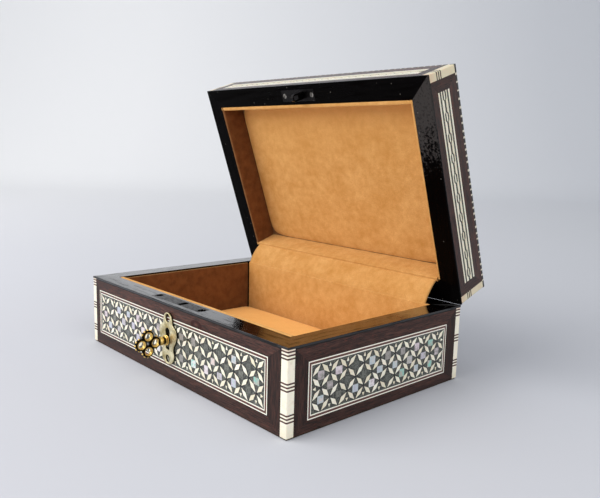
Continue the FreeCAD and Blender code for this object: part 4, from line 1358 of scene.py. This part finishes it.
def crowned_pad(half_a, half_b, edge, crown):
    """Pad with a superellipse outline: height is the edge plus the crown times (1 - a^16)(1 - b^16)."""
    turn = full_turn(PAD_COLUMNS)
    power = 2 / OUTLINE_POWER
    outline = np.stack([signed_power(np.cos(turn), power), signed_power(np.sin(turn), power)], -1)
    outline = outline * (1 - PAD_DRAW * (1 - outline[:, ::-1] ** 2))
    half = np.array([half_a, half_b]) - edge / 2
    top = np.linspace(0, 1, CROWN_ROWS)[:, None, None] * outline
    height = edge + crown * (1 - top ** CROWN_POWER).prod(axis=-1)
    swing = np.linspace(math.pi / 2, -math.pi / 2, EDGE_ROWS)[1:, None]
    away = outline * half / np.linalg.norm(outline * half, axis=1, keepdims=True)
    side = outline * half + (np.cos(swing) * edge / 2)[..., None] * away
    side_height = np.broadcast_to(edge / 2 * (1 + np.sin(swing)), side.shape[:2])
    under = np.linspace(1, 0, UNDER_ROWS)[1:, None, None] * outline * half
    flat = np.concatenate([top * half, side, under])
    tall = np.concatenate([height, side_height, np.zeros(under.shape[:2])])
    return np.concatenate([flat, tall[..., None]], -1)


def pad_piece(name, node, lid, edge, crown, wave):
    """Pad in the place of its CAD node, pressed against the boards round it, with slow waves on its face."""
    corners = node_points(node, lid)
    low, high = corners.min(0), corners.max(0)
    half = (high - low) / 2 + PAD_PRESS
    grid = crowned_pad(half[0], half[1], edge, crown)
    lift = waves(grid[..., 0], grid[..., 1], wave, PAD_WAVE)
    grid[..., 2] += lift * np.clip((grid[..., 2] - edge) / crown, 0, 1)
    middle = (low + high) / 2
    foot = np.array([middle[0], middle[1], high[2] if lid else low[2]])
    points = grid.reshape(-1, 3) * (1, 1, -1 if lid else 1) + foot
    mesh = new_mesh(name, as_packed(points, lid), grid_faces(*grid.shape[:2], round_columns=True))
    # Painted light: the floor cushion is lightened all over, and the lid cushion towards its front edge,
    # which is at the top when the lid is open.
    toward_front = np.clip(-grid[..., 1] / half[1], 0, 1) ** 2 if lid else np.ones(grid.shape[:2])
    attribute(mesh, "painted_shade_and_light", PAD_PAINTED_LIGHT * toward_front.ravel())
    tidy_shell(mesh, merge=SOFT_MERGE)
    piece = add_piece(name, mesh, VELVET[lid], BODY[lid], [node], smooth_angle=60)
    print(name, np.round((high - low) / MM, 1), "mm, crown", round(crown / MM, 1))


pad_piece("floor_cushion", "floor_pad", BASE, edge=3.2 * MM, crown=1.8 * MM, wave=0.25 * MM)
pad_piece("lid_cushion", "lid_pad", LID, edge=0.6 * MM, crown=0.5 * MM, wave=0.15 * MM)

# %% [markdown]
# ## The velvet gusset
# A strip of velvet is glued behind the back boards of the base and the lid, and hides the hinges. Open, it
# stands up from the base and leans back to the lid. Its section is a Bezier curve of four points, carried
# along the box. It crosses the hinge, and is built in its open place without riding on either body.

# %% Gusset strip
gusset_low, gusset_high = (np.array(corner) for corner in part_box("velvet_gusset"))
gusset_front = (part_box("lining_back")[0][1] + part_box("lining_back")[1][1]) / 2
base_seam = np.array([gusset_front, base_rim - SEAM])
lid_seam = swung_open(np.array([[0.0, gusset_front, lid_rim + SEAM]]))[0, 1:]
BASE_PULL = np.array([0.5, 5.0]) * MM
LID_PULL = np.array([-3.5, -2.2]) * MM
GUSSET_ROWS, GUSSET_COLUMNS = 25, 81
END_ROOM = 0.2 * MM
SLACK, SLACK_WAVE, SLACK_REACH = 0.3 * MM, 50 * MM, 20 * MM
GUSSET_PAINTED_SHADE, SEAM_PAINTED_SHADOW = 0.12, 0.8
CLOTH_THICK = 0.7 * MM


def bezier(start, start_pull, end_pull, end, share):
    """Cubic Bezier: the four points weighted by the terms of (1 - t + t) cubed."""
    t = share[:, None]
    return ((1 - t) ** 3 * start + 3 * t * (1 - t) ** 2 * start_pull
            + 3 * t ** 2 * (1 - t) * end_pull + t ** 3 * end)


def gusset_grid():
    """Strip as a grid: columns along the box, rows from the base seam to the lid seam, with slack waves."""
    share = np.linspace(0, 1, GUSSET_ROWS)
    section = bezier(base_seam, base_seam + BASE_PULL, lid_seam + LID_PULL, lid_seam, share)
    half = (gusset_high[0] - gusset_low[0]) / 2 - END_ROOM
    across = np.linspace(-half, half, GUSSET_COLUMNS)
    grid = np.zeros((len(share), len(across), 3))
    grid[..., 0] = across
    grid[..., 1:] = section[:, None]
    slack = waves(across[None, :], share[:, None] * SLACK_REACH, SLACK, SLACK_WAVE)
    grid[..., 1] -= slack * np.sin(math.pi * share)[:, None]
    return grid


grid = gusset_grid()
gusset_mesh = new_mesh("gusset", grid.reshape(-1, 3), grid_faces(*grid.shape[:2])[:, ::-1])
# Painted shade on the strip, and a dark line of painted shadow in the crease at the lid seam.
at_lid_seam = np.arange(len(grid)) == len(grid) - 1
attribute(gusset_mesh, "painted_shade_and_light", np.repeat(np.where(at_lid_seam, SEAM_PAINTED_SHADOW, GUSSET_PAINTED_SHADE), GUSSET_COLUMNS))
gusset = add_piece("gusset", gusset_mesh, VELVET[BASE], None, ["velvet_gusset"],
                   smooth_angle=80)
pile = gusset.modifiers.new("cloth_thickness", "SOLIDIFY")
pile.thickness = CLOTH_THICK
pile.offset = 0.0
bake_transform(gusset)

# %% [markdown]
# ## Keyhole plate
# The plate is cast brass with a ring above, broad shoulders and a foot. It is flat work: a filled curve with
# three holes gives the outline, a small bevel rounds its edge, and then it becomes a mesh and is domed, thick
# in the middle and thin at the sides, as castings are.

# %% Cast plate
plate_outline = np.array([(0, 12.5), (2.33, 11.53), (3.3, 9.2), (3.55, 7.55), (4.5, 6.8), (6.39, 5.25),
                          (7.1, 3.2), (6.18, -0.15), (4.5, -3.0), (4.25, -5.2), (4.8, -7.4), (3.39, -10.09),
                          (0, -11.2)]) * MM
plate_half = plate_outline[:, 0].max()
plate_depth = 1.2 * MM
plate_edge = 0.2 * MM
HOLE_RADIUS, CROWN_RADIUS, CROWN_RISE = 2.3 * MM, 2.2 * MM, 3.7 * MM
SLOT_HALF, SLOT_DROP = 1.8 * MM, 4.8 * MM
RING_HOLE, RING_HOLE_UP = 2.2 * MM, 10.2 * MM
FOOT_HOLE, FOOT_HOLE_UP = 2.0 * MM, -8.8 * MM
CIRCLE_POINTS, HOLE_POINTS, CROWN_POINTS = 16, 9, 13
DOME = 0.2
SHADE_AT_BACK, SHADE_FALL, SIDE_SHADE = 2.0, 2.1, 0.25


def arc(radius, up, start, end, count):
    """Points of an arc about a place on the plate's middle line, from a start angle to an end angle."""
    angle = np.linspace(start, end, count)
    return np.stack([radius * np.cos(angle), up + radius * np.sin(angle)], -1)


def circle(radius, up):
    """Points of a full circle: an arc without its last point, which is the first one again."""
    return arc(radius, up, 0, 2 * math.pi, CIRCLE_POINTS + 1)[:-1]


def keyhole_outline():
    """Slot with a round hole in its middle and a smaller one at its upper end, drawn as one closed line."""
    hole_side = math.acos(SLOT_HALF / HOLE_RADIUS)
    crown_side = math.acos(SLOT_HALF / CROWN_RADIUS)
    right = arc(HOLE_RADIUS, 0, -hole_side, hole_side, HOLE_POINTS)
    crown = arc(CROWN_RADIUS, CROWN_RISE, -crown_side, math.pi + crown_side, CROWN_POINTS)
    foot = np.array([(-SLOT_HALF, -SLOT_DROP), (SLOT_HALF, -SLOT_DROP)])
    return np.concatenate([right, crown, right[::-1] * (-1, 1), foot])


def add_outline(curve, points, smooth):
    """Closed outline in a flat curve: smooth handles or straight ones."""
    line = curve.splines.new("BEZIER")
    line.bezier_points.add(len(points) - 1)
    line.bezier_points.foreach_set("co", np.column_stack([points, np.zeros(len(points))]).ravel())
    line.use_cyclic_u = True
    line.resolution_u = 6 if smooth else 1
    for point in line.bezier_points:
        point.handle_left_type = point.handle_right_type = "AUTO" if smooth else "VECTOR"


def cast_plate():
    """Mesh of the plate while it lies flat: the filled curve with its rounded edge."""
    curve = bpy.data.curves.new("plate_curve", "CURVE")
    curve.dimensions = "2D"
    curve.fill_mode = "BOTH"
    curve.extrude = plate_depth / 2 - plate_edge
    curve.bevel_depth = plate_edge
    curve.bevel_resolution = 2
    mirrored = plate_outline[-2:0:-1] * (-1, 1)
    add_outline(curve, np.concatenate([plate_outline, mirrored])[::-1], True)
    add_outline(curve, keyhole_outline(), False)
    add_outline(curve, circle(RING_HOLE, RING_HOLE_UP), True)
    add_outline(curve, circle(FOOT_HOLE, FOOT_HOLE_UP), True)
    former = bpy.data.objects.new("plate_former", curve)
    scene.collection.objects.link(former)
    bpy.context.view_layer.update()
    mesh = bpy.data.meshes.new_from_object(former.evaluated_get(bpy.context.evaluated_depsgraph_get()))
    bpy.data.objects.remove(former)
    return mesh


def stand_up(mesh):
    """Turn the flat plate to face the front, dome it by 1 - x^2, and store painted shade at its back and
    sides.
    """
    place = mesh_points(mesh)
    raised = place[:, 2] + plate_depth / 2
    across = place[:, 0] / plate_half
    dome = 1 - DOME + DOME * np.clip(1 - across ** 2, 0, 1)
    stood = np.column_stack([key_x + place[:, 0], -half_depth - raised * dome, key_z + place[:, 1]])
    mesh.vertices.foreach_set("co", stood.ravel())
    # Painted shade: the back of the plate's edge and its hole walls go dark, and its outer sides a little.
    darkening = np.clip(SHADE_AT_BACK - SHADE_FALL * raised / plate_depth, 0, 1)
    attribute(mesh, "patina_and_shade", darkening + SIDE_SHADE * np.clip(across ** 4, 0, 1))
    tidy_shell(mesh)


plate_mesh = cast_plate()
stand_up(plate_mesh)
plate_mesh.name = "keyhole_plate"
add_piece("keyhole_plate", plate_mesh, PLATE_BRASS, "base", ["escutcheon"], smooth_angle=35)
print("keyhole plate:", len(plate_mesh.polygons), "faces")

# %% [markdown]
# ## The key
# The key is one casting: a round shank with two collars, a bit, and a bow of four open rings with small beads
# on the outside. Turned parts are a profile spun about the axis; each ring is a rounded section spun about
# its own centre; a bead is a small ball. Hollows store a value that turns them black with age.

# %% Cast key
bow_centre = key_low[1] + 5.7 * MM
plate_face = -half_depth - plate_depth
ring_offset = 3.45 * MM
ring_radius = 2.1 * MM
ring_half = 0.7 * MM
ring_thick = 1.0 * MM
RING_COLUMNS, RING_ROWS = 36, 14
ROUND_ACROSS, ROUND_UP = 0.8, 0.7
SHANK_COLUMNS = 28
BEAD_RADIUS, BEAD_SUNK = 0.52 * MM, 0.1 * MM
BEAD_COLUMNS, BEAD_ROWS = 8, 6
BEADS_EACH, BEAD_SWING = 5, 1.25
LOBES = np.arange(4) * math.pi / 2
SHANK, TIP, COLLAR, COLLAR_SWELL, BARREL_SWELL = 1.3, 1.1, 1.5, 0.9, 0.75
TIP_LENGTH, SHANK_END, COLLAR_STARTS, COLLAR_LENGTH = 0.3, 0.4, (0.2, 1.0), 0.7
BARREL_START, BARREL_LENGTH = 1.9, 3.0
BIT_HALF, BIT_LENGTH, BIT_DROP = 0.6, 1.6, 3.8
HOLLOW_REACH, HOLLOW_MOST = 2.35 * MM, 0.8
BEAD_DIRT, BIT_DIRT, RING_DIRT = 0.1, 0.4, 0.95


def spun(profile):
    """Profile of (radius, along) rows spun about the key's axis: cosine and sine of the radius, along -Y."""
    angle = full_turn(SHANK_COLUMNS)
    radius, along = profile[:, :1], profile[:, 1:]
    grid = np.stack([key_x + radius * np.cos(angle), along + 0 * angle, key_z + radius * np.sin(angle)], -1)
    return grid.reshape(-1, 3), grid_faces(*grid.shape[:2], round_columns=True)


def shank_profile():
    """Rows of the shank from tip to bow: straight, two thin collars at the plate, then a round barrel."""
    tip, start = key_high[1] / MM, plate_face / MM
    share = np.linspace(0, 1, 9)
    swell = np.sin(math.pi * share)
    body = np.array([(0.0, tip), (TIP, tip), (SHANK, tip - TIP_LENGTH), (SHANK, start + SHANK_END)])
    collars = [np.column_stack([COLLAR + COLLAR_SWELL * swell, start - first - COLLAR_LENGTH * share])
               for first in COLLAR_STARTS]
    barrel = np.column_stack([SHANK + BARREL_SWELL * swell, start - BARREL_START - BARREL_LENGTH * share])
    return np.concatenate([body, *collars, barrel, [(0.0, barrel[-1, 1])]]) * MM


def ring(centre):
    """Bow ring: an oval section, thicker along X, spun about the ring's centre in the plane of the bow."""
    angle = full_turn(RING_COLUMNS)[:, None]
    turn = full_turn(RING_ROWS)[None, :]
    radius = ring_radius + ring_half * signed_power(np.cos(turn), ROUND_ACROSS)
    thick = ring_thick * signed_power(np.sin(turn), ROUND_UP)
    grid = np.stack([key_x + thick + 0 * angle, centre[0] + radius * np.cos(angle),
                     centre[1] + radius * np.sin(angle)], -1)
    patina_and_shade = RING_DIRT * np.clip((np.cos(turn) + 0.35) / 0.4, 0, 1) + 0 * angle
    faces = grid_faces(RING_COLUMNS, RING_ROWS, round_rows=True, round_columns=True)
    return grid.reshape(-1, 3), faces, patina_and_shade.ravel()


def beads(centres):
    """Small balls: latitude and longitude on a coarse grid, repeated at every centre."""
    turn = full_turn(BEAD_COLUMNS)[None, :]
    tilt = np.linspace(-math.pi / 2, math.pi / 2, BEAD_ROWS)[:, None]
    ball = np.stack([np.cos(tilt) * np.cos(turn), np.cos(tilt) * np.sin(turn), np.sin(tilt) + 0 * turn], -1)
    points = centres[:, None] + BEAD_RADIUS * ball.reshape(1, -1, 3)
    faces = grid_faces(BEAD_ROWS, BEAD_COLUMNS, round_columns=True)
    return points.reshape(-1, 3), repeated(faces, len(centres), points.shape[1])


def bead_centres():
    """Places of the beads: five on the outer arc of each ring, except where the shank meets the bow."""
    lobe = LOBES[:, None]
    around = lobe + np.linspace(-BEAD_SWING, BEAD_SWING, BEADS_EACH)[None, :]
    reach = ring_radius + ring_half - BEAD_SUNK
    y = bow_centre + ring_offset * np.cos(lobe) + reach * np.cos(around)
    z = key_z + ring_offset * np.sin(lobe) + reach * np.sin(around)
    keep = (around != lobe) | (lobe != 0)
    return np.column_stack([np.full(keep.sum(), key_x), y[keep], z[keep]])


def key_parts():
    """All parts of the key as (points, faces, patina) rows."""
    points, faces = spun(shank_profile())
    sunk = HOLLOW_REACH - np.hypot(points[:, 0] - key_x, points[:, 2] - key_z)
    yield points, faces, np.clip(sunk / MM, 0, HOLLOW_MOST)
    for turn in LOBES:
        yield ring((bow_centre + ring_offset * math.cos(turn), key_z + ring_offset * math.sin(turn)))
    points, faces = beads(bead_centres())
    yield points, faces, np.full(len(points), BEAD_DIRT)
    bit = np.array([(x, y, z) for x in (-BIT_HALF, BIT_HALF) for y in (-BIT_LENGTH, 0.0)
                    for z in (-BIT_DROP, 0.0)]) * MM
    quads = np.array([(0, 1, 3, 2), (4, 6, 7, 5), (0, 4, 5, 1), (2, 3, 7, 6), (0, 2, 6, 4), (1, 5, 7, 3)])
    yield bit + (key_x, key_high[1], key_z), quads, np.full(len(bit), BIT_DIRT)


parts = list(key_parts())
key_mesh = new_mesh("cast_key", *merged([part[:2] for part in parts]))
attribute(key_mesh, "patina_and_shade", np.concatenate([part[2] for part in parts]))
tidy_shell(key_mesh)
add_piece("cast_key", key_mesh, KEY_BRASS, "key", ["key"], smooth_angle=50)
print("key:", len(key_mesh.polygons), "faces")

# %% [markdown]
# ## Screws
# The hinges and the lock are held by small slotted screws. Those of the lock are larger, a little raised and
# black with rust. Only the heads show. A head is cut into rows across its slot: rows inside the slot lie
# lower, so the slot has straight walls and the round outline stays exact. Every screw gets its own slot
# direction, as no one lines them up.

# %% Slotted heads
HEAD = 1.3 * MM
SLOT = 0.22 * MM
SLOT_DEPTH = 0.35 * MM
HEAD_DOME, HEAD_THICK = 0.12 * MM, 0.8 * MM
TOP_COLUMNS, UNDER_COLUMNS = 7, 2
SLOT_DIRT = 0.7


def slotted_head():
    """Disc in rows across the slot: half chord is the root of R^2 - t^2, and rows in the slot are lowered."""
    side = np.array([-1.0, -0.93, -0.8, -0.6, -0.4, -SLOT / HEAD]) * HEAD
    rows = np.concatenate([side, [-SLOT, SLOT], -side[::-1]])
    low = np.concatenate([0 * side, [SLOT_DEPTH, SLOT_DEPTH], 0 * side])
    chord = np.sqrt(np.clip(HEAD ** 2 - rows ** 2, 0, None))
    across = np.concatenate([np.linspace(-1, 1, TOP_COLUMNS), np.linspace(1, -1, UNDER_COLUMNS)])
    under = np.arange(len(across)) >= TOP_COLUMNS
    grid = np.zeros((len(rows), len(across), 3))
    grid[..., 0] = chord[:, None] * across
    grid[..., 1] = rows[:, None]
    dome = HEAD_DOME * (1 - (grid[..., 0] ** 2 + grid[..., 1] ** 2) / HEAD ** 2)
    grid[..., 2] = np.where(under, -HEAD_THICK, dome - low[:, None] - HEAD_DOME)
    return grid.reshape(-1, 3), grid_faces(*grid.shape[:2], round_columns=True)


def screw_heads(name, node, lid, finish_used=SCREW_STEEL, size=1.0, raised=0.0):
    """Slotted heads where the solids of a screw node have theirs, each turned by chance."""
    points, solid = welded(node)[::2]
    points = as_shut(points, lid)
    count = solid.max() + 1
    share = np.bincount(solid)[:, None]
    middle = np.stack([np.bincount(solid, points[:, axis]) for axis in (0, 1)], 1) / share
    outermost = np.min if lid else np.max
    top = np.array([outermost(points[solid == k, 2]) for k in range(count)])
    shape, quads = slotted_head()
    shape = shape * (size, size, 1) + (0, 0, raised)
    angle = chance.uniform(0, math.pi, count)[:, None]
    x, y = turned(shape[:, 0], shape[:, 1], angle)
    z = np.broadcast_to(shape[:, 2] * (-1 if lid else 1), x.shape)
    heads = np.stack([x + middle[:, :1], y + middle[:, 1:], z + top[:, None]], -1).reshape(-1, 3)
    mesh = new_mesh(name, as_packed(heads, lid), repeated(quads, count, len(shape)))
    sunk = np.clip(-shape[:, 2] / SLOT_DEPTH, 0, 1) * SLOT_DIRT
    attribute(mesh, "patina_and_shade", np.tile(sunk, count))
    tidy_shell(mesh)
    add_piece(name, mesh, finish_used, BODY[lid], [node], smooth_angle=30)
    print(name, count, "heads")


screw_heads("hinge_screw_heads", "hinge_base_screws", BASE)
screw_heads("lock_screw_heads", "lock_screws", BASE, RUST, size=1.5, raised=0.14 * MM)
screw_heads("lid_screw_heads", "lid_screws", LID)

# %% [markdown]
# ## Pieces that keep their CAD shape
# Stringing, boards, hinges and the works of the lock are flat or turned, so their solids are already right.
# They only get their finish.

# %% Dress the remaining nodes
dress(BONE_LINE[BASE], "bone_stringing")
dress(BONE_LINE[LID], "lid_bone_stringing")
dress(RED_WOOD[LID], "lid_wood_stringing")
dress(CARCASE, "floor_board", "lid_top_board")
dress(FELT, "underside_felt")
dress(LOCK_STEEL, "lock_case", "lock_hub", "lock_bolt")
dress(RIM_STEEL, "lock_top_plate", "strike_plate")
dress(HINGE_BRASS, "hinge_base_leaves", "hinge_lid_leaves", "hinge_pins")
print("dressed nodes keep their solids")

# %% [markdown]
# ## Camera, backdrop and light
# The camera stands where the photograph was taken: in front, to the right, a little above the box. A pale
# sheet runs under the box and curves up behind it, so there is no horizon. Painted light and shade on the
# sheet make it palest behind, on the left, and darker on the floor and to the right.
# A large soft lamp from the front left, a weak one from the right and a bright sky give plain, even studio
# light.

# %% Camera
azimuth, elevation, roll = (math.radians(angle) for angle in (47.65, 9.02, 1.51))
camera_place = np.array([251.76, -206.04, 108.85]) * MM
focal_pixels, image_width = 657.7, 600.0
back = np.array([math.sin(azimuth) * math.cos(elevation), -math.cos(azimuth) * math.cos(elevation),
                 math.sin(elevation)])
level = np.cross(-back, Z)
level = level / np.linalg.norm(level)
upright = np.cross(level, -back)
right = math.cos(roll) * level + math.sin(roll) * upright
up = -math.sin(roll) * level + math.cos(roll) * upright
camera_data = bpy.data.cameras.new("camera")
camera_data.sensor_fit = "HORIZONTAL"
camera_data.sensor_width = 36.0
camera_data.lens = focal_pixels / image_width * camera_data.sensor_width
camera_data.clip_start = 0.01
camera = bpy.data.objects.new("camera", camera_data)
scene.collection.objects.link(camera)
pose = np.eye(4)
pose[:3, :4] = np.column_stack([right, up, back, camera_place])
camera.matrix_world = Matrix(pose.tolist())
scene.camera = camera
print("camera at", np.round(camera_place, 3), "m, lens", round(camera_data.lens, 1), "mm")

# %% Backdrop
FLOOR_ROWS = np.array([-3.0, -1.0, -0.3, 0.0, 0.3, 0.6])
BEND_START, BEND_RADIUS, BEND_ROWS = 1.1, 0.7, 25
SHEET_HEIGHT, SHEET_HALF, SHEET_COLUMNS = 3.0, 3.0, 41
WALL_FROM, WALL_OVER, RIGHT_FROM, RIGHT_OVER = 0.1, 1.2, -0.5, 1.3
# Painted light and shade on the sheet: palest on the wall behind at the left, darker on the floor and to the
# right.
PAPER_PAINTED_LIGHT = {"left": (paint(200, 201, 208), paint(254, 254, 255)),
          "right": (paint(180, 183, 189), paint(217, 219, 224))}


def backdrop_grid():
    """Sheet carried across the view: level floor, a quarter circle, then straight up."""
    bend = np.linspace(0, math.pi / 2, BEND_ROWS)
    depth = np.concatenate([FLOOR_ROWS, BEND_START + BEND_RADIUS * np.sin(bend), [BEND_START + BEND_RADIUS]])
    height = np.concatenate([0 * FLOOR_ROWS, BEND_RADIUS * (1 - np.cos(bend)), [SHEET_HEIGHT]])
    across = np.linspace(-SHEET_HALF, SHEET_HALF, SHEET_COLUMNS)
    ahead = -back[:2] / np.linalg.norm(back[:2])
    aside = np.array([ahead[1], -ahead[0]])
    flat = depth[:, None, None] * ahead + across[None, :, None] * aside
    tall = np.broadcast_to(height[:, None, None], (len(depth), len(across), 1))
    return np.concatenate([flat, tall], -1), depth, across


grid, sheet_depth, sheet_across = backdrop_grid()
sheet_mesh = new_mesh("backdrop", grid.reshape(-1, 3), grid_faces(*grid.shape[:2])[:, ::-1])
to_wall = np.clip((sheet_depth - WALL_FROM) / WALL_OVER, 0, 1)[:, None] + 0 * sheet_across
to_right = np.clip((sheet_across - RIGHT_FROM) / RIGHT_OVER, 0, 1)[None, :] + 0 * sheet_depth[:, None]
attribute(sheet_mesh, "wall", to_wall.ravel())
attribute(sheet_mesh, "right", to_right.ravel())
sheet_mesh.shade_smooth()
backdrop = bpy.data.objects.new("backdrop", sheet_mesh)
scene.collection.objects.link(backdrop)
tree, shader, PAPER = finish("backdrop_paper", Roughness=0.9, Specular_IOR_Level=0.05)
left_paper, right_paper = (mixed(tree, stored(tree, "wall"), *PAPER_PAINTED_LIGHT[side]) for side in ("left", "right"))
feed(tree, mixed(tree, stored(tree, "right"), left_paper, right_paper), shader.inputs["Base Color"])
sheet_mesh.materials.append(PAPER)
backdrop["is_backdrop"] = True
print("backdrop", len(sheet_mesh.polygons), "faces")

# %% Light
SKY_COLOUR, SKY_STRENGTH = (0.93, 0.96, 1.0, 1.0), 0.62
LAMP_COLOUR = (1.0, 0.98, 0.95)
LAMP_AIM = (0, 0, 0.04)
scene.view_settings.view_transform = "Standard"
world = bpy.data.worlds.new("studio")
world.use_nodes = True
scene.world = world
sky = world.node_tree.nodes["Background"]
sky.inputs["Color"].default_value = SKY_COLOUR
sky.inputs["Strength"].default_value = SKY_STRENGTH


def soft_lamp(name, place, size, power):
    """Square lamp that looks at the middle of the box."""
    lamp = bpy.data.lights.new(name, "AREA")
    lamp.size = size
    lamp.energy = power
    lamp.color = LAMP_COLOUR
    holder = bpy.data.objects.new(name, lamp)
    scene.collection.objects.link(holder)
    look = np.array(place) - LAMP_AIM
    look = look / np.linalg.norm(look)
    level = np.cross(Z, look)
    level = level / np.linalg.norm(level)
    pose = np.eye(4)
    pose[:3, :4] = np.column_stack([level, np.cross(look, level), look, place])
    holder.matrix_world = Matrix(pose.tolist())
    print(name, "at", place, "m,", power, "W")


soft_lamp("window", (-0.42, -0.9, 0.74), size=1.2, power=16.0)
soft_lamp("room", (0.95, -0.3, 0.6), size=0.9, power=5.0)

# %% [markdown]
# ## Finish
# The size of the dressed box is printed.

# %% Print the size of the dressed box
low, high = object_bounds()
print("visual box", [round(float(v) / MM, 1) for v in np.array(high) - np.array(low)], "mm")
